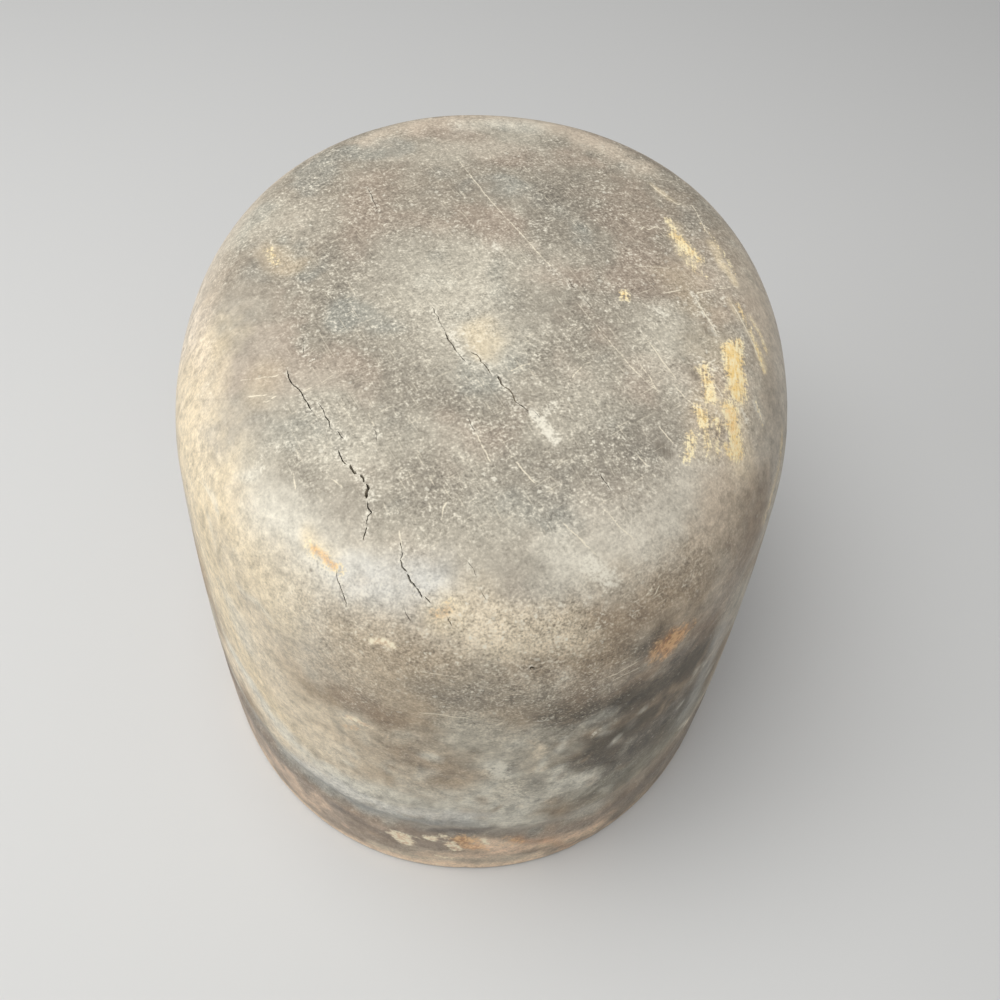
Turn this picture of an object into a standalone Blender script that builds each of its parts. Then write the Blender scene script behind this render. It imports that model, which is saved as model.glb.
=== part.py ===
"""A milliner's crown block, laminated from three boards, with an iron spindle socket in its foot.

Metres, +Z up. The origin is the middle of the foot, and -Y is the end that faces the maker.
"""
import math

import bmesh
import bpy
from mathutils import Matrix, Vector

# The oval, at the foot of the block
HALF_WIDTH = 0.084
HALF_LENGTH = 0.097
OVAL_EXPONENT = 2.1        # 2 is an ellipse, more is squarer
REAR_FULLNESS = 0.045      # share by which the rear is wider than the middle
OVAL_POINTS = 80

# The outside, from foot to tip
BLOCK_HEIGHT = 0.141
WALL_LEAN = 0.008          # how far the wall would come in over the full height
WALL_BELLY = 0.0023        # how far it stands out at half height
CROWN_EDGE_REACH = 0.022   # the rounded crown edge, measured inwards
CROWN_EDGE_DROP = 0.031    # and downwards
TIP_DOME = 0.004
FOOT_EDGE_RADIUS = 0.0015
WALL_LEVEL_STEP = 0.016
CROWN_EDGE_STEPS = 9
DOME_STEPS = 4
FOOT_EDGE_STEPS = 3

# The shallow groove worn by the tie cord, which lies in a tilted plane
TIE_LINE_HEIGHT = 0.030    # over the middle of the foot
TIE_LINE_FALL_RIGHT = 0.06
TIE_LINE_RADIUS = 0.0055
TIE_LINE_DEPTH_LEFT = 0.0012
TIE_LINE_DEPTH_RIGHT = 0.0006
TIE_LINE_SIDES = 16

# The three boards and their glue lines
CROWN_BOARD_THICKNESS = 0.044
MIDDLE_BOARD_THICKNESS = 0.044
GLUE_GAP = 0.0003

# Dowels across the glue lines
DOWEL_DIAMETER = 0.0127
DOWEL_LENGTH = 0.050
DOWEL_CHAMFER = 0.001
DOWEL_FIT = 0.0003         # round a dowel and past its ends
UPPER_DOWEL_FROM_END = 0.042    # from the end of the foot's oval to a dowel's middle
LOWER_DOWEL_FROM_SIDE = 0.032   # and from its side
DOWEL_SIDES = 24

# The iron spindle socket, let into the foot
SPINDLE_DIAMETER = 0.0254
SPINDLE_CLEARANCE = 0.0004
SOCKET_DEPTH = 0.045
FLANGE_DIAMETER = 0.072
FLANGE_THICKNESS = 0.004
FLANGE_RECESS = 0.0003     # how far it lies above the resting plane
FLANGE_EDGE_CHAMFER = 0.0006
HUB_DIAMETER = 0.036
HUB_HEIGHT = 0.022
BORE_CHAMFER = 0.001
FLANGE_FIT = 0.0003
FLANGE_SIDES = 48

# The flange's wood screws
SCREW_COUNT = 4
SCREW_CIRCLE_RADIUS = 0.027
SCREW_FIRST_ANGLE = 45     # degrees
SCREW_HEAD_DIAMETER = 0.0096
SCREW_HEAD_LAND = 0.0003
SCREW_HEAD_SINK = 0.0002
SCREW_SHANK_DIAMETER = 0.0048
SCREW_LENGTH = 0.025
SCREW_POINT_LENGTH = 0.006
SCREW_FIT = 0.0003
SCREW_SIDES = 20
SLOT_WIDTH = 0.0014
SLOT_DEPTH = 0.0012
SLOT_ANGLES = (22, 68, 151, 110)  # degrees, as the screws happened to stop

CUT_OVERSHOOT = 0.002      # how far a cutter runs past the face that it opens
SMOOTH_ANGLE = 40          # degrees


def material(name, colour, roughness, metallic=0.0):
    made = bpy.data.materials.new(name)
    made.use_nodes = True
    shader = made.node_tree.nodes["Principled BSDF"]
    shader.inputs["Base Color"].default_value = (*colour, 1)
    shader.inputs["Roughness"].default_value = roughness
    shader.inputs["Metallic"].default_value = metallic
    return made


def add_object(name, mesh, finish=None):
    made = bpy.data.objects.new(name, mesh)
    bpy.context.scene.collection.objects.link(made)
    if finish:
        mesh.materials.append(finish)
    mesh.shade_smooth()
    mesh.set_sharp_from_angle(angle=math.radians(SMOOTH_ANGLE))
    return made


def cut(target, *cutters):
    """Cuts the target with each cutter, which stays in the file as a hidden guide."""
    for cutter in cutters:
        cutter.hide_render = True
        cutter.display_type = "WIRE"
        step = target.modifiers.new(cutter.name, "BOOLEAN")
        step.operation = "DIFFERENCE"
        step.solver = "EXACT"
        step.object = cutter


def mesh_from(bm, name):
    bmesh.ops.recalc_face_normals(bm, faces=bm.faces)
    mesh = bpy.data.meshes.new(name)
    bm.to_mesh(mesh)
    bm.free()
    return mesh


def bridge(bm, lower, upper):
    """Joins two rings of the same number of vertices with a band of quads."""
    count = len(lower)
    for i in range(count):
        after = (i + 1) % count
        bm.faces.new((lower[i], lower[after], upper[after], upper[i]))


def turned(name, profile, sides):
    """Turns a profile of (radius, height) about the Z axis. It starts and ends on the axis."""
    bm = bmesh.new()
    ends = [bm.verts.new((0, 0, profile[i][1])) for i in (0, -1)]
    rings = []
    for radius, height in profile[1:-1]:
        corners = [math.tau * i / sides for i in range(sides)]
        rings.append([bm.verts.new((radius * math.cos(a), radius * math.sin(a), height)) for a in corners])
    for lower, upper in zip(rings, rings[1:]):
        bridge(bm, lower, upper)
    for end, ring in zip(ends, (rings[0], rings[-1])):
        for i in range(sides):
            bm.faces.new((end, ring[i], ring[(i + 1) % sides]))
    return mesh_from(bm, name)


# The oval and the outside

def signed_power(value, exponent):
    return math.copysign(abs(value) ** exponent, value)


def oval_point(angle, inset=0.0):
    """A point of the oval, drawn in by the inset."""
    across = signed_power(math.cos(angle), 2 / OVAL_EXPONENT)
    along = signed_power(math.sin(angle), 2 / OVAL_EXPONENT)
    fullness = 1 + REAR_FULLNESS * along
    return Vector(((HALF_WIDTH - inset) * across * fullness, (HALF_LENGTH - inset) * along, 0))


def wall_inset(height):
    rise = height / BLOCK_HEIGHT
    return WALL_LEAN * rise - 4 * WALL_BELLY * rise * (1 - rise)


def dome_slope():
    """The fall of the dome at its rim, where the crown edge runs into it."""
    return 2 * TIP_DOME / ((HALF_WIDTH + HALF_LENGTH) / 2 - WALL_LEAN - CROWN_EDGE_REACH)


def crown_edge_sweep():
    """The angle at which the crown edge's ellipse falls as the dome's rim does."""
    return math.atan(CROWN_EDGE_DROP / (CROWN_EDGE_REACH * dome_slope()))


def shoulder_height():
    return BLOCK_HEIGHT - TIP_DOME - CROWN_EDGE_DROP * math.sin(crown_edge_sweep())


def outside_levels():
    """Levels of the outside from foot to tip, as (height, inset, scale)."""
    levels = []
    for i in range(FOOT_EDGE_STEPS):
        turn = math.pi / 2 * i / FOOT_EDGE_STEPS
        height = FOOT_EDGE_RADIUS * (1 - math.cos(turn))
        levels.append((height, wall_inset(height) + FOOT_EDGE_RADIUS * (1 - math.sin(turn)), 1))
    shoulder = shoulder_height()
    wall_steps = max(1, round((shoulder - FOOT_EDGE_RADIUS) / WALL_LEVEL_STEP))
    for i in range(wall_steps):
        height = FOOT_EDGE_RADIUS + (shoulder - FOOT_EDGE_RADIUS) * i / wall_steps
        levels.append((height, wall_inset(height), 1))
    for i in range(CROWN_EDGE_STEPS + 1):
        turn = crown_edge_sweep() * i / CROWN_EDGE_STEPS
        height = shoulder + CROWN_EDGE_DROP * math.sin(turn)
        levels.append((height, wall_inset(height) + CROWN_EDGE_REACH * (1 - math.cos(turn)), 1))
    rim_inset = levels[-1][1]
    for i in range(1, DOME_STEPS):
        scale = 1 - i / DOME_STEPS
        levels.append((BLOCK_HEIGHT - TIP_DOME * scale ** 2, rim_inset, scale))
    return levels


def level_at(height):
    """The outside at one height, between its own levels."""
    levels = outside_levels()
    for low, high in zip(levels, levels[1:]):
        if low[0] <= height <= high[0]:
            part = (height - low[0]) / (high[0] - low[0])
            return tuple(a + (b - a) * part for a, b in zip(low, high))
    return levels[0] if height < levels[0][0] else levels[-1]


def slice_of_block(name, bottom, top=None):
    """The block between two heights, flat at both, or with its tip where no top is given."""
    levels = [level for level in outside_levels() if level[0] > bottom and (top is None or level[0] < top)]
    levels.insert(0, level_at(bottom))
    if top is not None:
        levels.append(level_at(top))
    bm = bmesh.new()
    rings = []
    for height, inset, scale in levels:
        points = [oval_point(math.tau * i / OVAL_POINTS, inset) * scale for i in range(OVAL_POINTS)]
        rings.append([bm.verts.new((point.x, point.y, height)) for point in points])
    for lower, upper in zip(rings, rings[1:]):
        bridge(bm, lower, upper)
    bm.faces.new(rings[0])
    if top is not None:
        bm.faces.new(rings[-1])
    else:
        tip = bm.verts.new((0, 0, BLOCK_HEIGHT))
        for i in range(OVAL_POINTS):
            bm.faces.new((rings[-1][i], rings[-1][(i + 1) % OVAL_POINTS], tip))
    return mesh_from(bm, name)


# Cutters

def tie_line_cutter():
    """A thick ring laid round the wall in the tie line's tilted plane, sunk by the groove's depth."""
    bm = bmesh.new()
    step = math.tau / OVAL_POINTS
    rings = []
    for i in range(OVAL_POINTS):
        angle = step * (i + 0.5)
        wall = oval_point(angle, wall_inset(TIE_LINE_HEIGHT))
        height = TIE_LINE_HEIGHT - TIE_LINE_FALL_RIGHT * wall.x
        wall = oval_point(angle, wall_inset(height))
        along = (oval_point(angle + step / 4) - oval_point(angle - step / 4)).normalized()
        outward = Vector((along.y, -along.x, 0))
        share = (wall.x / HALF_WIDTH + 1) / 2
        depth = TIE_LINE_DEPTH_LEFT + (TIE_LINE_DEPTH_RIGHT - TIE_LINE_DEPTH_LEFT) * share
        centre = wall + outward * (TIE_LINE_RADIUS - depth) + Vector((0, 0, height))
        ring = []
        for side in range(TIE_LINE_SIDES):
            turn = math.tau * (side + 0.5) / TIE_LINE_SIDES
            spot = centre + outward * TIE_LINE_RADIUS * math.cos(turn)
            ring.append(bm.verts.new(spot + Vector((0, 0, TIE_LINE_RADIUS * math.sin(turn)))))
        rings.append(ring)
    for i, ring in enumerate(rings):
        bridge(bm, ring, rings[(i + 1) % OVAL_POINTS])
    return add_object("tie_line_cutter", mesh_from(bm, "tie_line_cutter"))


def socket_cutter():
    """The stepped hole for the flange's plate, its hub and the spindle above it."""
    plate = FLANGE_DIAMETER / 2 + FLANGE_FIT
    plate_top = FLANGE_RECESS + FLANGE_THICKNESS + FLANGE_FIT
    hub = HUB_DIAMETER / 2 + FLANGE_FIT
    hub_top = FLANGE_RECESS + HUB_HEIGHT + FLANGE_FIT
    bore = (SPINDLE_DIAMETER + SPINDLE_CLEARANCE) / 2
    profile = [(0, -CUT_OVERSHOOT), (plate, -CUT_OVERSHOOT), (plate, plate_top), (hub, plate_top)]
    profile += [(hub, hub_top), (bore, hub_top), (bore, SOCKET_DEPTH), (0, SOCKET_DEPTH)]
    return add_object("socket_cutter", turned("socket_cutter", profile, FLANGE_SIDES))


def dowel_mesh(name, grow=0.0, chamfer=DOWEL_CHAMFER):
    """A dowel about the origin, or the hole for it where it is grown."""
    radius = DOWEL_DIAMETER / 2 + grow
    half = DOWEL_LENGTH / 2 + grow
    profile = [(0, -half), (radius - chamfer, -half), (radius, chamfer - half)]
    profile += [(radius, half - chamfer), (radius - chamfer, half), (0, half)]
    return turned(name, profile, DOWEL_SIDES)


def screw_mesh(name, grow=0.0, overshoot=0.0):
    """A countersunk screw, head down at height 0, or the hole for it where it is grown."""
    head = SCREW_HEAD_DIAMETER / 2 + grow
    shank = SCREW_SHANK_DIAMETER / 2 + grow
    land = SCREW_HEAD_LAND
    profile = [(0, -overshoot), (head, -overshoot), (head, land), (shank, land + head - shank)]
    profile += [(shank, SCREW_LENGTH - SCREW_POINT_LENGTH), (0, SCREW_LENGTH + grow)]
    return turned(name, profile, SCREW_SIDES)


# The pieces

def build_boards():
    crown_seam = BLOCK_HEIGHT - CROWN_BOARD_THICKNESS
    middle_seam = crown_seam - MIDDLE_BOARD_THICKNESS
    crown = add_object("crown_board", slice_of_block("crown_board", crown_seam),
                       material("crown wood", (0.27, 0.235, 0.20), 0.62))
    middle = add_object("middle_board",
                        slice_of_block("middle_board", middle_seam, crown_seam - GLUE_GAP),
                        material("middle wood", (0.25, 0.22, 0.18), 0.5))
    base = add_object("base_board", slice_of_block("base_board", 0, middle_seam - GLUE_GAP),
                      material("base wood", (0.29, 0.23, 0.17), 0.5))
    return crown, middle, base, crown_seam, middle_seam


def build_dowel(name, location, wood, lower_board, upper_board):
    """A dowel standing across a glue line, with its hole in both boards."""
    dowel = add_object(name, dowel_mesh(name), wood)
    dowel.location = location
    hole = add_object(f"{name}_hole", dowel_mesh(f"{name}_hole", DOWEL_FIT))
    hole.location = location
    cut(lower_board, hole)
    cut(upper_board, hole)


def build_flange():
    """The round plate and hub, turned in one, with its bore open at both ends."""
    bore = (SPINDLE_DIAMETER + SPINDLE_CLEARANCE) / 2
    plate = FLANGE_DIAMETER / 2
    hub = HUB_DIAMETER / 2
    bottom = FLANGE_RECESS
    plate_top = bottom + FLANGE_THICKNESS
    hub_top = bottom + HUB_HEIGHT
    outline = [(bore, bottom + BORE_CHAMFER), (bore + BORE_CHAMFER, bottom)]
    outline += [(plate - FLANGE_EDGE_CHAMFER, bottom), (plate, bottom + FLANGE_EDGE_CHAMFER)]
    outline += [(plate, plate_top), (hub, plate_top), (hub, hub_top), (bore, hub_top)]
    bm = bmesh.new()
    rings = []
    for radius, height in outline:
        corners = [math.tau * i / FLANGE_SIDES for i in range(FLANGE_SIDES)]
        rings.append([bm.verts.new((radius * math.cos(a), radius * math.sin(a), height)) for a in corners])
    for lower, upper in zip(rings, rings[1:] + rings[:1]):
        bridge(bm, lower, upper)
    return add_object("socket_flange", mesh_from(bm, "socket_flange"),
                      material("socket iron", (0.12, 0.095, 0.08), 0.6, 0.85))


def build_screw(number, steel, flange, board):
    """One screw of the flange, with its hole in the flange and in the board above."""
    name = f"flange_screw_{number}"
    around = math.radians(SCREW_FIRST_ANGLE + 360 * (number - 1) / SCREW_COUNT)
    face = FLANGE_RECESS + SCREW_HEAD_SINK
    place = Matrix.Rotation(around, 3, "Z") @ Vector((SCREW_CIRCLE_RADIUS, 0, 0)) + Vector((0, 0, face))
    screw = add_object(name, screw_mesh(name), steel)
    screw.location = place
    hole = add_object(f"{name}_hole", screw_mesh(f"{name}_hole", SCREW_FIT, CUT_OVERSHOOT))
    hole.location = place
    cut(flange, hole)
    cut(board, hole)
    bm = bmesh.new()
    bmesh.ops.create_cube(bm, size=1)
    slot = add_object(f"{name}_slot", mesh_from(bm, f"{name}_slot"))
    slot.scale = (SCREW_HEAD_DIAMETER + CUT_OVERSHOOT, SLOT_WIDTH, 2 * SLOT_DEPTH)
    slot.rotation_euler.z = math.radians(SLOT_ANGLES[(number - 1) % len(SLOT_ANGLES)])
    slot.location = place
    cut(screw, slot)


def build():
    for old in list(bpy.data.objects):
        bpy.data.objects.remove(old)
    crown, middle, base, crown_seam, middle_seam = build_boards()
    cut(base, tie_line_cutter(), socket_cutter())
    cut(middle, bpy.data.objects["tie_line_cutter"])
    dowel_wood = material("dowel wood", (0.50, 0.36, 0.20), 0.6)
    for name, side in (("upper_dowel_front", -1), ("upper_dowel_rear", 1)):
        place = (0, side * (HALF_LENGTH - UPPER_DOWEL_FROM_END), crown_seam)
        build_dowel(name, place, dowel_wood, middle, crown)
    for name, side in (("lower_dowel_left", -1), ("lower_dowel_right", 1)):
        place = (side * (HALF_WIDTH - LOWER_DOWEL_FROM_SIDE), 0, middle_seam)
        build_dowel(name, place, dowel_wood, base, middle)
    flange = build_flange()
    steel = material("screw steel", (0.20, 0.17, 0.14), 0.5, 0.9)
    for number in range(1, SCREW_COUNT + 1):
        build_screw(number, steel, flange, base)


build()
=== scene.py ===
import math

import bmesh
import bpy
import numpy as np
from mathutils import Matrix, Vector
from mathutils.bvhtree import BVHTree
from mathutils.kdtree import KDTree


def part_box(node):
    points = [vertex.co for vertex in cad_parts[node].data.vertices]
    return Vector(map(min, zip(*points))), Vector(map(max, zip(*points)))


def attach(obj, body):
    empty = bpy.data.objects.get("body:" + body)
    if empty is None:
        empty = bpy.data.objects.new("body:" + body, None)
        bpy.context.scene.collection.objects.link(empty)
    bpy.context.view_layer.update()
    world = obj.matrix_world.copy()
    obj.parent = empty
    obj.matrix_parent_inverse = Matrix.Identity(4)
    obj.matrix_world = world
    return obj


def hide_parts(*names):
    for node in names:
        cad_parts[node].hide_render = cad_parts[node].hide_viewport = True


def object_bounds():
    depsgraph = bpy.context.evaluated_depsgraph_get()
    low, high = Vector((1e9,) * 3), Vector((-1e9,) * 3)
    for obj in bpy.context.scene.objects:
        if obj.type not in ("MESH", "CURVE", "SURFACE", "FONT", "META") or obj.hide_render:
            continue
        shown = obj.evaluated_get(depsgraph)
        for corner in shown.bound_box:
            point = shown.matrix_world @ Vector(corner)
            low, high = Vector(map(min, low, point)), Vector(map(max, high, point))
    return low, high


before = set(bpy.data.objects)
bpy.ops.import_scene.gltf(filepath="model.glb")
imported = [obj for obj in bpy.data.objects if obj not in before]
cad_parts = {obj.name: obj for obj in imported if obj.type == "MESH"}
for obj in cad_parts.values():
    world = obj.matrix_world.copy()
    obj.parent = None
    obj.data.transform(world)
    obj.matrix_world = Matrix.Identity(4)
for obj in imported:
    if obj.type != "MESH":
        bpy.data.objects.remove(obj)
cadLow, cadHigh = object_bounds()
mm = 0.001
hair = 1e-6      # m or radians, counted as nothing
print("frame loaded:", len(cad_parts), "nodes")


# Node trees, written as sums

class Wire:      # a socket that can be reckoned with
    def __init__(self, graph, socket):
        self.graph, self.socket = graph, socket

    def math(self, operation, *others, clamp=False):
        values = dict(enumerate((self, *others)))
        return self.graph.add("ShaderNodeMath", values, operation=operation, use_clamp=clamp)

    def __add__(self, other):
        return self.math("ADD", other)

    def __sub__(self, other):
        return self.math("SUBTRACT", other)

    def __rsub__(self, other):
        return self.math("MULTIPLY_ADD", -1, other)

    def __mul__(self, other):
        return self.math("MULTIPLY", other)

    def __truediv__(self, other):
        return self.math("DIVIDE", other)

    def __rtruediv__(self, other):
        return (self / other) ** -1

    def __pow__(self, other):
        return self.math("POWER", other)

    __radd__, __rmul__ = __add__, __mul__

    def above(self, low, high):      # 0 below the first value, 1 over the second, smooth between
        values = {"Value": self, "From Min": low, "From Max": high, "To Min": 0, "To Max": 1}
        return self.graph.add("ShaderNodeMapRange", values, interpolation_type="SMOOTHSTEP")

    def clamped(self):
        return self.math("ADD", 0, clamp=True)


class Graph:     # a node tree that is added to
    def __init__(self, tree):
        self.tree = tree

    def add(self, kind, values=None, output=0, **settings):
        made = self.tree.nodes.new(kind)
        for name, setting in settings.items():
            setattr(made, name, setting)
        for key, value in (values or {}).items():
            if isinstance(value, Wire):
                self.tree.links.new(value.socket, made.inputs[key])
            else:
                made.inputs[key].default_value = value
        return Wire(self, made.outputs[output]) if made.outputs else None

    def mix(self, factor, under, over, blend="MIX"):      # colours
        values = {0: factor, 6: under, 7: over}
        return self.add("ShaderNodeMix", values, 2, data_type="RGBA", blend_type=blend)


def screen(red, green, blue):      # a colour as it looks on a screen, as the renderer wants it
    parts = (part / 255 for part in (red, green, blue))
    return tuple(p / 12.92 if p <= 0.04045 else ((p + 0.055) / 1.055) ** 2.4 for p in parts)


def ink(*parts):      # the same with its opacity, for a shader
    return (*screen(*parts), 1)


def placed(name, data):      # a new object in the scene
    made = bpy.data.objects.new(name, data)
    bpy.context.scene.collection.objects.link(made)
    return made


def meshFrom(bm, name):
    mesh = bpy.data.meshes.new(name)
    bm.to_mesh(mesh)
    bm.free()
    return mesh


# The photograph's view of the block

photoView = {
    "imageSize": 1000,            # px, square
    "focalLength": 1000,          # px
    "pitch": 53.18,               # degrees down
    "roll": 4.79,
    "turn": 1.41,                 # how far round the block the camera stands
    "aimPixel": (480.9, 460.6),   # where the middle of the block falls
    "distance": 0.29436,          # m
    "sensorWidth": 36,            # mm
    "nearest": 10 * mm,
}


def cameraAxes():
    pitch, roll, turn = (math.radians(photoView[key]) for key in ("pitch", "roll", "turn"))
    forward = Vector((0, math.cos(pitch), -math.sin(pitch)))
    right, up = Vector((1, 0, 0)), Vector((0, math.sin(pitch), math.cos(pitch)))
    rolled = (right * math.cos(roll) + up * math.sin(roll), up * math.cos(roll) - right * math.sin(roll))
    return [Matrix.Rotation(-turn, 3, "Z") @ axis for axis in (forward, *rolled)]


def rayThrough(pixel):
    forward, right, up = cameraAxes()
    half, focal = photoView["imageSize"] / 2, photoView["focalLength"]
    return forward + right * (pixel[0] - half) / focal - up * (pixel[1] - half) / focal


middle = Vector((0, 0, cadHigh.z / 2))
cameraPlace = middle - rayThrough(photoView["aimPixel"]) * photoView["distance"]


def makeCamera():
    forward, right, up = cameraAxes()
    data = bpy.data.cameras.new("photoCamera")
    data.sensor_width = photoView["sensorWidth"]
    data.lens = data.sensor_width * photoView["focalLength"] / photoView["imageSize"]
    data.clip_start = photoView["nearest"]
    camera = placed("photoCamera", data)
    axes = Matrix((right, up, -forward)).transposed()
    camera.matrix_world = Matrix.Translation(cameraPlace) @ axes.to_4x4()
    bpy.context.scene.camera = camera


makeCamera()
print("camera at", [round(part, 4) for part in cameraPlace])


# The form of the block, as in the construction

blockForm = {
    "halfWidth": 84 * mm,
    "halfLength": 97 * mm,
    "exponent": 2.1,
    "rearFullness": 0.045,
    "height": cadHigh.z,
    "lean": 8 * mm,
    "belly": 2.3 * mm,
    "edgeReach": 22 * mm,
    "edgeDrop": 31 * mm,
    "dome": 4 * mm,
    "footRadius": 1.5 * mm,
}
tieLine = {
    "height": 30 * mm,           # of its plane, over the middle of the foot
    "fallRight": 0.06,
    "depthLeft": 1.2 * mm,
    "depthRight": 0.6 * mm,
    "halfWidth": 6 * mm,
}
clearance = 0.3 * mm      # round the dowels and the flange
meshDetail = {
    "columns": 560,                # round the oval
    "ring": 0.9 * mm,              # between rings of the wall
    "underRings": 26,              # from the foot's edge to the flange
    "footSteps": 4,
    "edgeArc": 1.11,               # length of the crown edge's arc to its chord
    "upperGap": 0.04 * mm,         # the open glue lines
    "lowerGap": 0.02 * mm,
    "crackReaches": (1.3 * mm, 0.75 * mm, 0.4 * mm),      # where the mesh is halved, and halved again
    "scratchReaches": (0.8 * mm,),
    "sharpEdge": 50,               # degrees
}
angles = np.arange(meshDetail["columns"]) * math.tau / meshDetail["columns"]


def ovalPoints(angle, inset=0.0):      # x and y of the oval, drawn in by the inset
    form = blockForm
    across = np.sign(np.cos(angle)) * np.abs(np.cos(angle)) ** (2 / form["exponent"])
    along = np.sign(np.sin(angle)) * np.abs(np.sin(angle)) ** (2 / form["exponent"])
    x = (form["halfWidth"] - inset) * across * (1 + form["rearFullness"] * along)
    return x, (form["halfLength"] - inset) * along


def wallInset(height):
    rise = height / blockForm["height"]
    return blockForm["lean"] * rise - 4 * blockForm["belly"] * rise * (1 - rise)


meanRim = (blockForm["halfWidth"] + blockForm["halfLength"]) / 2 - blockForm["lean"] - blockForm["edgeReach"]
domeSlope = 2 * blockForm["dome"] / meanRim
edgeSweep = math.atan(blockForm["edgeDrop"] / (blockForm["edgeReach"] * domeSlope))
shoulderHeight = blockForm["height"] - blockForm["dome"] - blockForm["edgeDrop"] * math.sin(edgeSweep)


def crownEdge(turn):      # height and inset at an angle of the rounded edge, 0 at its foot
    height = shoulderHeight + blockForm["edgeDrop"] * np.sin(turn)
    return height, wallInset(height) + blockForm["edgeReach"] * (1 - np.cos(turn))


def tieHeight(x):
    return tieLine["height"] - tieLine["fallRight"] * x


# Noise on many points at once

def lattice(cell, seed):
    mixed = cell[:, 0] * 73856093 ^ cell[:, 1] * 19349663 ^ cell[:, 2] * 83492791 ^ (seed + 1) * 2654435761
    mixed = (mixed ^ mixed >> 13) * 1274126177
    return ((mixed ^ mixed >> 16) & 0xffff) / 32767.5 - 1


def cloud(points, size, seed=0, octaves=1):      # from -1 to 1, with lumps of about that size
    total, weight, weights = 0, 1.0, 0.0
    for octave in range(octaves):
        scaled = points / size * 2 ** octave + seed * 17.31
        low = np.floor(scaled).astype(np.int64)
        part = scaled - low
        part = part * part * (3 - 2 * part)
        for corner in range(8):
            step = np.array([corner >> axis & 1 for axis in range(3)])
            share = np.prod(np.where(step, part, 1 - part), axis=1)
            total = total + weight * share * lattice(low + step, seed * 8 + octave)
        weights += weight
        weight /= 2
    return total / weights


def smooth(low, high, values):
    part = np.clip((values - low) / (high - low), 0, 1)
    return part * part * (3 - 2 * part)


# Where marks of the photograph fall on the block

coarseDetail = {"columns": 180, "wallLevels": 12, "edgeLevels": 16, "domeScales": (0.75, 0.5, 0.25, 0.01)}


def coarseBlock():      # a light copy of the outside, for finding where lines of sight meet it
    count = coarseDetail["columns"]
    turns = np.linspace(0, math.tau, count + 1)[:-1]
    wall = np.linspace(0, shoulderHeight, coarseDetail["wallLevels"])[:-1]
    levels = [(height, wallInset(height), 1) for height in wall]
    levels += [(*crownEdge(turn), 1) for turn in np.linspace(0, edgeSweep, coarseDetail["edgeLevels"])]
    rim = levels[-1][1]
    levels += [(blockForm["height"] - blockForm["dome"] * s * s, rim, s) for s in coarseDetail["domeScales"]]
    points, faces = [], []
    for height, inset, scale in levels:
        x, y = ovalPoints(turns, inset)
        points += [(px * scale, py * scale, height) for px, py in zip(x, y)]
    top = len(points) - count
    for lower in range(0, top, count):
        for k in range(count):
            a, b = lower + k, lower + (k + 1) % count
            faces.append((a, b, b + count, a + count))
    faces.append(tuple(range(top, len(points))))
    return BVHTree.FromPolygons(points, faces)


blockTree = coarseBlock()


def onBlock(pixel):      # where the line of sight through a pixel meets the block
    return blockTree.ray_cast(cameraPlace, rayThrough(pixel).normalized())[0]


def inPairs(numbers):
    return zip(numbers[::2], numbers[1::2])


def onPixels(path):
    return [onBlock(pixel) for pixel in inPairs(path)]


def onWall(azimuth, height):      # the same for an angle from the front, in degrees, and a height in mm
    turn = math.radians(azimuth)
    outward = Vector((math.sin(turn), -math.cos(turn), 0))
    return blockTree.ray_cast(outward * 0.5 + Vector((0, 0, height * mm)), -outward)[0]


def wallPath(azimuth, height, length, tilt):
    return [onWall(azimuth, height), onWall(azimuth + length, height + tilt)]


def normalAt(spot):
    return blockTree.find_nearest(spot)[1]


# Cracks and scratches

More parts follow.
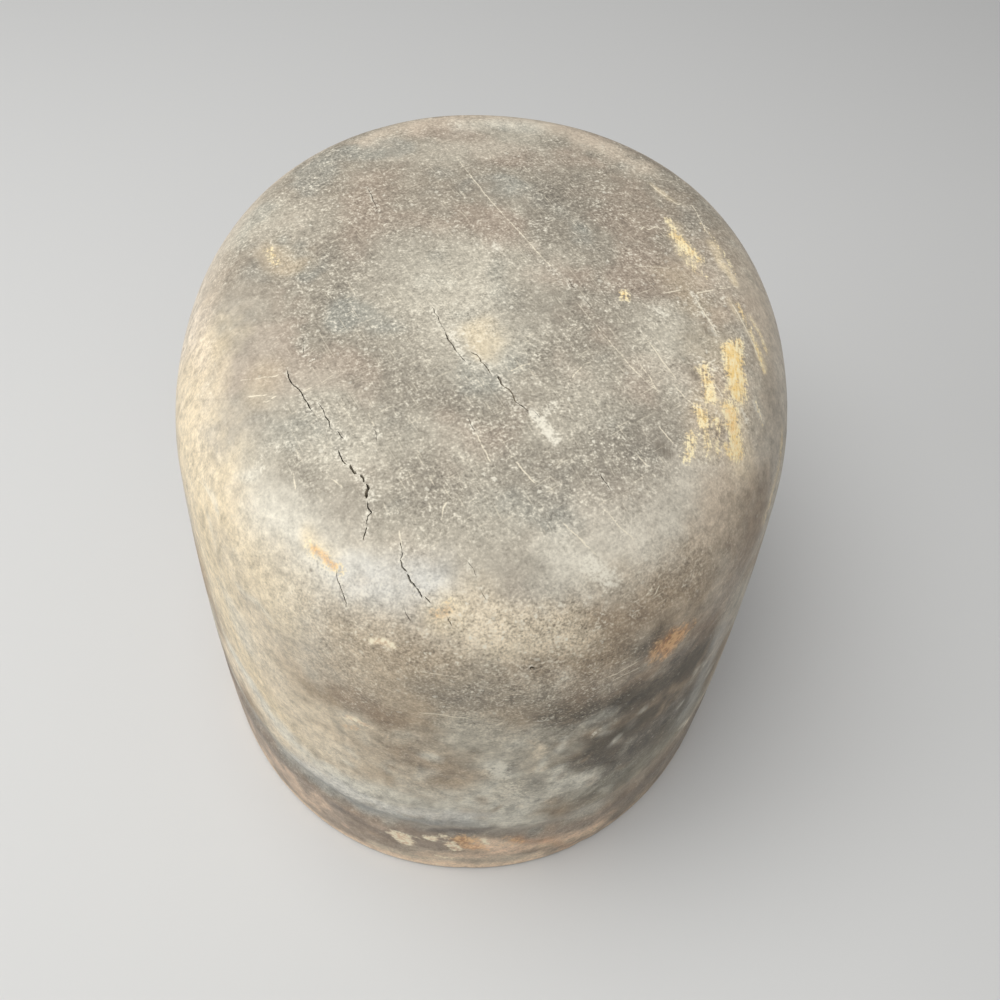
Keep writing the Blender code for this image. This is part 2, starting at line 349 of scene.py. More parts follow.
lineMarks = {
    "seed": 4,
    "sampleStep": 0.12 * mm,
    "thinner": 0.78,              # the photograph blurs the lines to the widths given
    "bends": [(12, 1), (4, 0.3)],      # samples from bend to bend, and share of the wander
    "crackWander": 0.11 * mm,
    "scratchWander": 0.07 * mm,
    "settle": 8,                  # samples at each end over which it stops wandering
    "taper": (6, 0.7),            # how fast the ends widen, and on what curve
    "narrowest": 0.35,            # share of the width between knots
    "unevenEvery": 8,             # samples
    "span": 4,                    # samples to each side that give the direction
    "cracks": [      # greatest width and depth in mm, then pixels, x and y in turn
        (0.42, 5, 286, 368, 290, 379, 293, 385, 299, 389, 303, 396, 308, 405, 313, 412),
        (0.42, 5, 318, 402, 324, 411, 325, 415, 329, 420, 330, 427, 333, 430),
        (0.3, 4, 337, 430, 341, 436, 344, 439),
        (0.4, 5, 338, 449, 341, 456, 342, 460, 345, 463, 347, 464),
        (0.85, 8, 350, 464, 353, 470, 356, 473),
        (0.55, 7, 360, 474, 363, 478, 364, 482),
        (0.8, 8, 366, 483, 369, 487, 366, 492, 366, 498),
        (0.35, 5, 367, 500, 368, 508, 370, 512, 367, 516, 366, 524),
        (0.28, 4, 367, 526, 364, 534, 363, 540),
        (0.2, 2, 431, 304, 436, 314, 440, 322, 445, 331),
        (0.42, 5, 445, 331, 448, 338, 453, 344, 457, 352),
        (0.2, 2, 457, 352, 462, 358, 466, 361),
        (0.36, 5, 470, 351, 477, 354, 481, 361, 486, 366, 491, 374),
        (0.7, 8, 498, 375, 501, 383, 504, 386),
        (0.5, 7, 504, 386, 509, 389, 513, 394, 515, 400, 518, 403),
        (0.35, 5, 518, 403, 523, 407, 529, 411),
        (0.25, 3, 535, 411, 540, 417),
        (0.28, 3, 468, 417, 471, 424, 475, 431),
        (0.25, 3, 374, 429, 376, 435, 377, 441),
        (0.3, 3, 400, 541, 401, 548, 402, 555, 400, 560),
        (0.4, 5, 400, 559, 402, 566, 407, 572),
        (0.5, 6, 407, 574, 410, 582, 416, 588),
        (0.4, 5, 416, 588, 420, 593, 422, 598),
        (0.25, 3, 424, 596, 428, 600, 431, 604),
        (0.26, 3, 336, 570, 337, 580, 341, 590, 344, 598, 346, 608),
        (0.17, 2, 404, 608, 407, 614, 410, 621),
        (1.0, 5, 531, 668, 534, 670),
        (0.16, 2, 447, 617, 449, 622, 452, 627),
        (0.28, 3, 367, 186, 371, 194, 374, 202, 378, 211),
        (0.22, 2, 302, 337, 305, 346, 303, 354),
        (0.22, 2, 569, 280, 574, 288),
        (0.2, 2, 584, 298, 591, 307),
        (0.25, 2, 600, 473, 606, 482, 610, 489),
        (0.17, 2, 468, 562, 472, 569, 476, 576),
        (0.12, 1.4, 481, 590, 484, 596, 487, 601),
    ],
    "scratches": [      # width in mm, strength, pixels
        (0.3, 0.7, 455, 155, 490, 200, 520, 232, 545, 260, 566, 279),
        (0.3, 0.6, 575, 300, 600, 330, 630, 365, 660, 395),
        (0.35, 0.8, 647, 339, 663, 361, 679, 382),
        (0.35, 0.8, 640, 363, 651, 378, 660, 395),
        (0.35, 0.8, 673, 383, 684, 395, 696, 406, 708, 409),
        (0.35, 0.9, 659, 426, 666, 434, 674, 443),
        (0.3, 0.6, 632, 448, 640, 457, 648, 466),
        (0.35, 0.8, 714, 383, 723, 396),
        (0.35, 0.6, 508, 372, 520, 366, 534, 362),
        (0.35, 0.6, 568, 384, 576, 372, 584, 364, 593, 359),
        (0.5, 0.9, 695, 293, 705, 291, 714, 289),
        (0.35, 0.7, 716, 288, 728, 287, 740, 286),
        (0.4, 0.8, 662, 293, 674, 291, 684, 289),
        (0.25, 0.5, 620, 267, 650, 266, 676, 268),
        (0.4, 0.7, 640, 230, 644, 226, 649, 229, 656, 226, 665, 229),
        (0.6, 0.8, 693, 294, 700, 305, 708, 318, 718, 335),
        (0.6, 0.7, 647, 182, 660, 192, 678, 204, 688, 201),
        (0.6, 0.6, 690, 200, 698, 214, 706, 230, 714, 240),
        (0.6, 0.8, 729, 297, 742, 320, 754, 346, 764, 371),
        (0.6, 0.7, 751, 317, 759, 331, 766, 346),
        (0.6, 0.7, 756, 400, 760, 411, 763, 422),
        (0.4, 0.7, 414, 671, 430, 674, 446, 676, 462, 678),
        (0.5, 1.2, 417, 713, 436, 715, 455, 718, 474, 720),
        (0.7, 1.1, 604, 680, 618, 674, 628, 668, 639, 662),
        (0.5, 0.9, 612, 682, 626, 675, 640, 668),
        (0.5, 0.9, 646, 597, 651, 591, 653, 586),
        (0.5, 0.9, 655, 596, 658, 590, 660, 585),
        (0.5, 0.6, 260, 402, 268, 400, 276, 395),
        (0.4, 0.6, 238, 380, 256, 378, 284, 373),
        (0.5, 0.7, 245, 396, 262, 395, 272, 392),
        (0.5, 0.8, 293, 474, 294, 482, 295, 490),
        (0.5, 0.8, 331, 478, 337, 483, 343, 487),
        (0.5, 0.6, 195, 475, 206, 490, 217, 512),
        (0.4, 0.6, 255, 600, 262, 609, 270, 618),
        (0.5, 0.7, 560, 520, 575, 534, 590, 549, 603, 560),
        (0.3, 0.5, 600, 505, 618, 524, 636, 542),
        (0.4, 0.8, 515, 460, 525, 472, 537, 485),
        (0.5, 0.8, 475, 431, 483, 446, 491, 462),
        (0.5, 0.7, 368, 412, 371, 419, 375, 427),
        (0.4, 0.7, 448, 500, 443, 508, 441, 521),
        (0.5, 0.8, 399, 529, 400, 538, 402, 550),
        (0.3, 0.5, 300, 392, 318, 384, 336, 372),
    ],
    "wallCracks": [      # on the unseen sides: width, depth, then angles from the front and heights
        (0.45, 4, 150, 118, 150.6, 114, 150.2, 111, 151.4, 107, 151, 103, 151.5, 99),
        (0.5, 5, 207.4, 124, 207.8, 120, 206.9, 116, 207.3, 113, 208.4, 109, 208, 106),
        (0.4, 4, 208.3, 105, 208.9, 102, 208.6, 98),
        (0.35, 3, 213, 95, 213.6, 91, 213.2, 88, 214, 85),
        (0.35, 3, 118, 122, 118.3, 119, 119.2, 116, 119, 113),
    ],
}


def wander(path, random, reach):      # a jagged line through the points, sampled finely
    spots = []
    for start, end in zip(path, path[1:]):
        count = max(1, int((end - start).length / lineMarks["sampleStep"]))
        spots += [start.lerp(end, k / count) for k in range(count)]
    spots.append(path[-1])
    count = len(spots)
    order = np.arange(count)
    drift = np.zeros(count)
    for every, share in lineMarks["bends"]:
        knots = np.arange(0, count + every, every)
        drift += np.interp(order, knots, random.normal(0, reach * share, len(knots)))
    drift *= np.minimum(1, np.minimum(order, count - 1 - order) / lineMarks["settle"])
    sideways = (path[-1] - path[0]).cross(normalAt(path[0])).normalized()
    return [spot + sideways * shift for spot, shift in zip(spots, drift)]


class LineSet:      # samples along the lines, each with its half width, strength and sideways direction
    def __init__(self, lines, reach, seed):
        random = np.random.default_rng(seed)
        (rate, curve), every, span = (lineMarks[key] for key in ("taper", "unevenEvery", "span"))
        samples, widths, strengths, sideways = [], [], [], []
        for path, width, strength in lines:
            spots = wander(path, random, reach)
            share = np.linspace(0, 1, len(spots))
            taper = np.minimum(1, rate * np.minimum(share, 1 - share)) ** curve
            knots = random.uniform(lineMarks["narrowest"], 1, max(3, len(spots) // every))
            uneven = np.interp(share, np.linspace(0, 1, len(knots)), knots)
            samples += spots
            widths += list(width * lineMarks["thinner"] * mm / 2 * taper * uneven)
            strengths += list(strength * taper)
            for number, spot in enumerate(spots):
                along = spots[min(number + span, len(spots) - 1)] - spots[max(number - span, 0)]
                sideways.append(along.cross(normalAt(spot)).normalized())
        self.tree = KDTree(len(samples))
        for number, spot in enumerate(samples):
            self.tree.insert(spot, number)
        self.tree.balance()
        self.samples, self.sideways = np.array(samples), np.array(sideways)
        self.widths, self.strengths = np.array(widths), np.array(strengths)

    def near(self, points):      # distance to the nearest sample, its half width and strength, and the side
        found = [self.tree.find(point)[1:] for point in points]
        number = np.array([pair[0] for pair in found])
        side = np.sum((points - self.samples[number]) * self.sideways[number], axis=1)
        return np.array([pair[1] for pair in found]), self.widths[number], self.strengths[number], side


def traced(lines, find):      # (path, width, strength) of each line, its path found on the block
    return [(find(path), width, strength) for width, strength, *path in lines]


def onWalls(path):
    return [onWall(*place) for place in inPairs(path)]


crackLines = traced(lineMarks["cracks"], onPixels) + traced(lineMarks["wallCracks"], onWalls)
cracks = LineSet(crackLines, lineMarks["crackWander"], lineMarks["seed"])
scratchLines = traced(lineMarks["scratches"], onPixels)
scratches = LineSet(scratchLines, lineMarks["scratchWander"], lineMarks["seed"] + 1)
print("line marks:", len(cracks.samples), "crack samples,", len(scratches.samples), "scratch samples")


# Relief of the skin

relief = {
    "carving": (0.32 * mm, 30 * mm),      # depth and size of the hand-cut unevenness
    "dents": (0.35 * mm, 7 * mm),
    "weathering": (0.07 * mm, 1.6 * mm),
    "tieWaver": (0.15, 9 * mm),           # share of the tie line's half width, and size
    "crackWall": 3,                       # how steeply a crack falls to its full depth
    "scratchDepth": 0.12 * mm,
    "scratchSpread": 1.3,
    "pinHole": ((532, 669), 0.4 * mm, 4 * mm),      # pixel, radius and depth
}


def reliefDepth(points, normals):      # how far each point of the skin is drawn in
    depth, size = relief["carving"]
    total = depth * (0.55 + 0.45 * cloud(points, size, 1, 2))
    depth, size = relief["dents"]
    total += depth * smooth(0.45, 0.95, cloud(points, size, 2)) ** 2
    depth, size = relief["weathering"]
    total += depth * (0.5 + 0.5 * cloud(points * (1, 1, 1.6), size, 3, 2))
    x, _, z = points.T
    share = (x / blockForm["halfWidth"] + 1) / 2
    tie = tieLine["depthLeft"] + (tieLine["depthRight"] - tieLine["depthLeft"]) * share
    waver, size = relief["tieWaver"]
    offset = (z - tieHeight(x)) / tieLine["halfWidth"] + waver * cloud(points, size, 4)
    onSide = np.abs(normals[:, 2]) < 0.6
    total += np.where(onSide, tie * np.clip(1 - offset ** 2, 0, 1) ** 1.5, 0)

    def inside(distance, reach):      # 1 in the middle of a line, 0 at its edge
        return np.clip(1 - distance / np.maximum(reach, hair), 0, 1)

    distance, halfWidth, deep, _ = cracks.near(points)
    total += deep * mm * np.minimum(1, inside(distance, halfWidth) * relief["crackWall"])
    distance, halfWidth, strong, _ = scratches.near(points)
    total += relief["scratchDepth"] * strong * inside(distance, halfWidth * relief["scratchSpread"])
    pixel, radius, deep = relief["pinHole"]
    away = np.linalg.norm(points - np.array(onBlock(pixel)), axis=1)
    return total + deep * np.clip(2 * (1 - away / radius), 0, 1)


# Colours and wear, kept at the vertices: broad washes of colour, some of them painted sheen, highlights and
# shade, then ragged marks by kind

tones = {
    "ash": screen(160, 152, 137),
    "darkAsh": screen(130, 123, 111),
    "taupe": screen(158, 145, 128),
    "paleAsh": screen(206, 199, 181),
    "cream": screen(228, 211, 178),
    "sand": screen(212, 193, 162),
    "dune": screen(222, 206, 184),
    "bone": screen(222, 216, 199),
    "mist": screen(206, 197, 180),
    # a painted sheen and highlight colour
    "bluish": screen(216, 214, 205),
    "umber": screen(166, 146, 120),
    "darkUmber": screen(144, 123, 100),
    "slate": screen(142, 135, 122),
    "soot": screen(92, 83, 68),
    "olive": screen(124, 119, 102),
    "clay": screen(228, 213, 186),
    "moss": screen(194, 186, 167),
    "paleMoss": screen(218, 213, 196),
    "coolAsh": screen(158, 158, 148),
    "warmAsh": screen(170, 152, 135),
    # painted shade at the tie line's groove
    "blueGrey": screen(160, 161, 156),
    # dirt and painted shadow in the tie line's groove
    "dirt": screen(104, 97, 90),
    "footBrown": screen(166, 149, 132),
    "footDark": screen(122, 111, 96),
    # pale worn wood at the foot, also a painted highlight on its lower edge
    "footBare": screen(246, 219, 188),
    "planed": screen(158, 138, 113),
    "grime": screen(92, 80, 66),
    "flesh": screen(236, 204, 172),
    "rustBrown": screen(196, 146, 104),
}
washes = [      # tone, width in mm, strength, softness, pixels
    ("taupe", 34, 0.4, 1.0, 330, 200, 420, 180),
    # painted rim highlight along the back of the crown edge, over pale rubbed wood
    ("dune", 9, 0.6, 1.0, 372, 137, 430, 121, 500, 118, 570, 130, 640, 165),
    ("paleAsh", 12, 0.45, 1.0, 440, 150, 480, 148, 530, 140),
    # painted rim highlight along the back of the crown edge
    ("bone", 6, 0.5, 1.0, 462, 126, 500, 124, 536, 129),
    ("taupe", 24, 0.5, 0.9, 240, 268, 222, 312),
    ("mist", 13, 0.3, 1.0, 232, 365, 238, 425),
    ("taupe", 18, 0.4, 0.9, 600, 180, 660, 230, 700, 290),
    ("dune", 18, 0.45, 0.9, 730, 250, 752, 300, 764, 350),
    ("taupe", 14, 0.65, 0.9, 676, 196, 700, 222, 722, 248),
    ("cream", 4, 0.6, 0.9, 669, 222, 682, 240, 698, 262),
    ("taupe", 14, 0.4, 0.9, 772, 380, 775, 440, 762, 520),
    ("paleAsh", 26, 0.75, 1.0, 425, 275, 450, 300, 478, 330),
    ("paleAsh", 14, 0.6, 1.0, 655, 330, 670, 370),
    ("paleAsh", 9, 0.35, 1.0, 545, 425, 600, 450),
    ("paleAsh", 18, 0.4, 1.0, 312, 398, 372, 448),
    ("paleAsh", 16, 0.45, 1.0, 586, 396, 622, 430),
    ("paleAsh", 14, 0.4, 1.0, 470, 460, 500, 470),
    ("darkAsh", 10, 0.3, 0.9, 536, 216, 560, 230),
    ("darkAsh", 13, 0.7, 0.9, 655, 440, 672, 452),
    ("darkAsh", 12, 0.5, 0.9, 612, 452, 636, 462, 606, 488),
    ("darkAsh", 11, 0.4, 0.9, 526, 312, 562, 314),
    ("darkAsh", 13, 0.4, 0.9, 518, 462, 542, 484),
    ("paleAsh", 14, 0.4, 1.0, 494, 260, 530, 262),
    ("paleAsh", 15, 0.45, 1.0, 248, 224, 296, 214),
    ("darkAsh", 18, 0.15, 1.0, 410, 380, 400, 440),
    ("paleAsh", 11, 0.6, 1.0, 252, 464, 300, 462, 336, 456),
    ("slate", 9, 0.4, 0.9, 300, 486, 324, 498, 346, 506),
    ("mist", 9, 0.5, 0.9, 306, 516, 350, 526),
    ("slate", 12, 0.25, 0.9, 440, 520, 520, 535),
    ("sand", 7, 0.4, 0.9, 262, 372, 256, 398),
    ("sand", 8, 0.5, 0.9, 275, 245, 290, 262),
    ("cream", 6.5, 0.65, 0.9, 476, 332, 484, 342),
    ("cream", 24, 0.95, 0.8, 190, 372, 186, 430, 198, 500, 214, 570, 236, 630),
    ("mist", 12, 0.2, 0.9, 246, 410, 236, 455),
    ("cream", 15, 0.7, 0.9, 226, 480, 248, 560, 272, 610),
    ("bone", 13, 0.75, 0.8, 272, 514, 300, 546, 345, 582),
    ("bone", 2.2, 0.6, 0.9, 241, 480, 254, 476, 266, 474),
    ("bone", 2, 0.6, 0.9, 200, 474, 212, 494, 219, 514),
    ("bone", 2.2, 0.6, 0.9, 201, 494, 210, 523, 216, 545, 226, 596, 231, 614),
    ("bone", 1.8, 0.6, 0.9, 238, 584, 255, 601, 272, 620),
    ("bone", 3, 0.5, 0.9, 204, 554, 217, 612, 225, 639),
    ("bone", 2.4, 0.5, 0.9, 243, 619, 250, 640, 262, 668),
    ("cream", 5, 0.7, 1.0, 304, 536, 322, 555, 340, 570),
    ("cream", 9, 0.4, 0.9, 262, 552, 288, 612),
    # painted sheen along the front of the crown edge, over rubbed wood
    ("bluish", 12, 0.85, 0.8, 345, 580, 385, 588, 430, 588),
    ("mist", 8, 0.3, 1.0, 400, 542, 450, 552, 510, 552),
    # painted sheen along the right of the crown edge, over rubbed wood (this wash and the next)
    ("mist", 24, 0.85, 0.9, 612, 556, 655, 536, 714, 496),
    ("bone", 12, 0.45, 0.9, 625, 545, 655, 528, 690, 505),
    ("bone", 7, 0.6, 0.7, 560, 545, 600, 578),
    ("umber", 16, 0.7, 0.9, 735, 500, 710, 560, 690, 600),
    ("cream", 24, 0.95, 0.9, 222, 596, 248, 666, 280, 725),
    ("clay", 18, 0.8, 0.9, 262, 640, 290, 700, 320, 745),
    ("bone", 8, 0.5, 0.9, 232, 610, 250, 650),
    ("bone", 16, 0.45, 0.9, 310, 620, 330, 660),
    ("umber", 24, 0.7, 1.0, 370, 664, 410, 674, 460, 700),
    ("sand", 26, 0.3, 1.0, 352, 668, 440, 692, 560, 690),
    ("clay", 16, 0.4, 1.0, 342, 736, 380, 764, 450, 788, 512, 792),
    ("clay", 14, 0.3, 1.0, 384, 648, 440, 668, 505, 668),
    ("clay", 11, 0.6, 0.9, 296, 706, 346, 728, 384, 736),
    ("clay", 10, 0.55, 0.9, 366, 784, 392, 792),
    ("paleMoss", 9, 0.5, 0.9, 462, 742, 480, 762),
    ("darkUmber", 11, 0.7, 0.8, 358, 702, 376, 710),
    ("darkUmber", 10, 0.25, 0.9, 395, 655, 430, 665),
    ("clay", 13, 0.9, 0.8, 470, 610, 504, 632, 556, 638),
    ("bone", 10, 0.5, 0.9, 560, 576, 592, 592, 622, 588),
    ("clay", 9, 0.6, 0.9, 516, 646, 566, 648),
    ("cream", 7, 0.6, 0.8, 436, 616, 450, 608),
    ("slate", 10, 0.5, 0.8, 482, 674, 482, 704),
    ("slate", 9, 0.5, 0.9, 440, 690, 460, 700),
    ("umber", 18, 0.7, 0.9, 570, 645, 620, 620, 660, 600),
    ("darkUmber", 8, 0.4, 0.9, 600, 630, 640, 615),
    ("umber", 14, 0.6, 0.9, 612, 658, 656, 648, 688, 622),
    ("darkUmber", 17, 0.75, 1.0, 756, 520, 730, 592, 704, 645),
    ("darkUmber", 9, 0.6, 0.9, 646, 672, 676, 655, 700, 630),
    ("rustBrown", 10.5, 0.85, 0.5, 669, 644, 676, 639),
    ("umber", 8, 0.5, 0.9, 586, 668, 640, 672),
    ("soot", 12, 0.7, 0.8, 560, 718, 585, 708, 610, 712),
    ("soot", 15, 0.95, 0.7, 620, 702, 650, 694, 675, 672, 700, 656),
    ("soot", 7, 0.5, 0.8, 520, 708, 545, 700),
    ("soot", 8, 0.75, 0.8, 640, 652, 662, 634),
    ("soot", 30, 0.97, 0.9, 590, 765, 640, 745, 690, 700),
    ("moss", 10, 0.7, 0.7, 540, 745, 556, 738),
    ("paleMoss", 9, 0.4, 0.9, 470, 735, 530, 735),
    ("paleMoss", 8, 0.85, 0.9, 470, 820, 512, 823),
    ("moss", 6, 0.5, 0.7, 574, 732, 600, 726),
    ("paleMoss", 4, 0.7, 0.7, 586, 722, 604, 714),
    ("paleMoss", 3, 0.7, 0.7, 598, 738, 606, 734),
    ("paleMoss", 4, 0.7, 0.7, 506, 752, 520, 748),
    ("paleMoss", 4, 0.7, 0.7, 536, 776, 552, 772),
    ("moss", 8, 0.7, 0.7, 540, 762, 570, 752),
    ("moss", 5, 0.7, 0.7, 606, 690, 630, 678),
    ("moss", 5, 0.7, 0.7, 645, 668, 662, 655),
    ("slate", 10, 0.6, 0.8, 560, 790, 600, 780, 640, 770),
    ("olive", 18, 0.8, 0.9, 606, 786, 650, 756, 688, 712),
    ("soot", 8, 0.8, 0.7, 596, 744, 640, 724, 664, 704),
    ("moss", 18, 0.85, 0.8, 470, 740, 500, 780, 560, 790),
    ("paleMoss", 12, 0.85, 0.8, 470, 800, 500, 806, 525, 810),
    ("paleMoss", 8, 0.7, 0.8, 560, 786, 585, 780),
    ("paleMoss", 5, 0.8, 0.7, 484, 768, 502, 776),
    ("umber", 15, 0.85, 0.9, 398, 748, 440, 776),
    # the pale band above the tie line: pale worn wood with a painted highlight along it, and painted sheen at
    # its lower edge (these four washes)
    ("clay", 14, 0.9, 0.7, 226, 650, 245, 683, 271, 722, 300, 751, 325, 772, 361, 795),
    ("bone", 8, 0.9, 0.8, 232, 652, 252, 688, 275, 722, 300, 748, 322, 768, 350, 786),
    ("paleMoss", 15, 0.9, 0.8, 350, 788, 390, 800, 440, 806),
    ("bluish", 9, 0.7, 0.8, 300, 762, 340, 788, 380, 810, 430, 816, 480, 816),
    ("moss", 7, 0.35, 0.9, 640, 765, 680, 730),
    # painted rim highlight along the right outline
    ("bluish", 9, 0.4, 1.0, 722, 630, 708, 668, 692, 706),
    ("dune", 11, 0.5, 1.0, 742, 385, 740, 450, 716, 520),
    ("sand", 10, 0.35, 1.0, 714, 345, 722, 400),
    ("cream", 7, 0.4, 1.0, 703, 404, 704, 452),
    ("cream", 8, 0.6, 1.0, 737, 404, 741, 456),
    ("sand", 9, 0.35, 1.0, 678, 275, 700, 310),
    ("cream", 1.6, 0.7, 0.9, 647, 182, 660, 192, 678, 204, 694, 206),
    ("cream", 1.6, 0.6, 0.9, 693, 208, 702, 224, 712, 242),
    ("cream", 2.2, 0.9, 0.9, 712, 240, 726, 262, 742, 286),
    ("cream", 1.6, 0.6, 0.9, 703, 234, 716, 252, 728, 268),
    ("cream", 2.4, 1.0, 0.9, 732, 302, 744, 324, 756, 350, 764, 370),
    ("cream", 2.2, 0.9, 0.9, 750, 314, 760, 334, 766, 348),
    ("bone", 1.6, 0.7, 0.9, 757, 402, 761, 414, 764, 426),
    ("cream", 3, 0.7, 0.9, 783, 440, 776, 480, 765, 522),
    ("clay", 11, 0.85, 0.9, 518, 640, 560, 644),
    ("paleAsh", 12, 0.35, 1.0, 400, 520, 500, 524),
    ("mist", 13, 0.3, 1.0, 238, 300, 262, 344),
    ("darkAsh", 16, 0.35, 1.0, 372, 264, 408, 252),
    ("darkAsh", 13, 0.4, 1.0, 566, 192, 596, 210),
    ("darkAsh", 13, 0.4, 1.0, 616, 466, 656, 484),
    ("soot", 13, 0.4, 0.9, 580, 724, 640, 740),
    ("darkUmber", 9, 0.55, 0.9, 586, 694, 650, 670),
    ("darkUmber", 9, 0.4, 0.9, 522, 674, 548, 670),
]
footWashes = [
    # painted shade at the upper edge of the tie line's groove
    ("blueGrey", 5, 0.7, 0.9, 318, 782, 345, 801, 368, 813, 400, 820, 450, 824, 476, 826),
    # the tie line's dark groove: dirt and painted shadow (this wash and the next)
    ("dirt", 4.4, 0.6, 1.0, 336, 808, 352, 817, 374, 829, 398, 836),
    ("dirt", 2.4, 0.75, 1.0, 410, 832, 440, 834, 476, 835),
    ("darkUmber", 6, 0.4, 1.0, 350, 816, 388, 838),
    ("clay", 5, 0.6, 1.0, 380, 846, 412, 856, 450, 860),
    ("flesh", 10, 1.0, 1.0, 478, 848, 520, 849, 560, 841, 592, 829),
    # the foot's lower edge: pale worn wood with a painted highlight along it
    ("footBare", 5.5, 1.0, 1.0, 372, 849, 410, 860, 450, 865, 500, 865, 536, 857),
    ("clay", 6, 0.45, 1.0, 410, 848, 470, 858, 530, 858),
    ("darkUmber", 2.4, 0.35, 1.0, 464, 856, 484, 857, 506, 856),
    ("flesh", 5, 0.45, 1.0, 420, 853, 460, 856, 510, 855),
    ("paleMoss", 9, 0.9, 1.0, 494, 825, 528, 822),
    # more of the groove's dirt and painted shadow
    ("dirt", 3.4, 0.7, 1.0, 456, 834, 472, 833, 484, 832),
    ("footBare", 5, 0.7, 1.0, 482, 843, 502, 846),
    ("footBare", 4, 0.6, 1.0, 508, 842, 520, 845),
    ("sand", 5, 0.55, 1.0, 536, 848, 566, 842, 594, 830),
    ("rustBrown", 3.4, 0.55, 1.0, 520, 839, 548, 840, 572, 846),
    ("sand", 4, 0.3, 1.0, 600, 824, 640, 797, 662, 770),
]
textures = {      # kind: width in mm, strength, pixels; where the finish differs
    "specks": [
        (18, 0.8, 465, 612, 505, 622, 560, 625),
        (30, 0.6, 440, 668, 500, 690, 570, 680),
        (24, 0.5, 370, 640, 420, 655),
        (12, 0.4, 640, 600, 690, 560),
        (8, 0.5, 430, 600, 460, 590),
        (22, 0.4, 330, 620, 360, 680),
    ],
    "mottles": [
        (26, 1.0, 540, 740, 600, 715, 650, 690),
        (26, 0.8, 480, 790, 540, 790, 600, 770, 650, 740),
        (26, 0.7, 400, 740, 450, 750, 500, 760),
        (12, 0.6, 350, 790, 420, 806, 500, 800),
        (14, 0.6, 590, 670, 650, 650, 700, 610),
    ],
    "calm": [
        (22, 1.0, 235, 300, 240, 400, 232, 460, 280, 520, 340, 575),
        (16, 0.7, 300, 500, 350, 525),
        (15, 0.8, 345, 580, 430, 590, 520, 570, 600, 560),
        (18, 0.8, 650, 530, 700, 500),
        (15, 0.9, 758, 300, 775, 420, 755, 520),
    ],
    "streaks": [
        (34, 1.0, 208, 290, 190, 350, 186, 430, 198, 500, 214, 570, 236, 630),
        (20, 0.4, 715, 215, 745, 270, 768, 345, 775, 420),
        (10, 0.7, 222, 640, 262, 705, 330, 770),
        (14, 0.3, 560, 720, 640, 690, 700, 650),
    ],
}
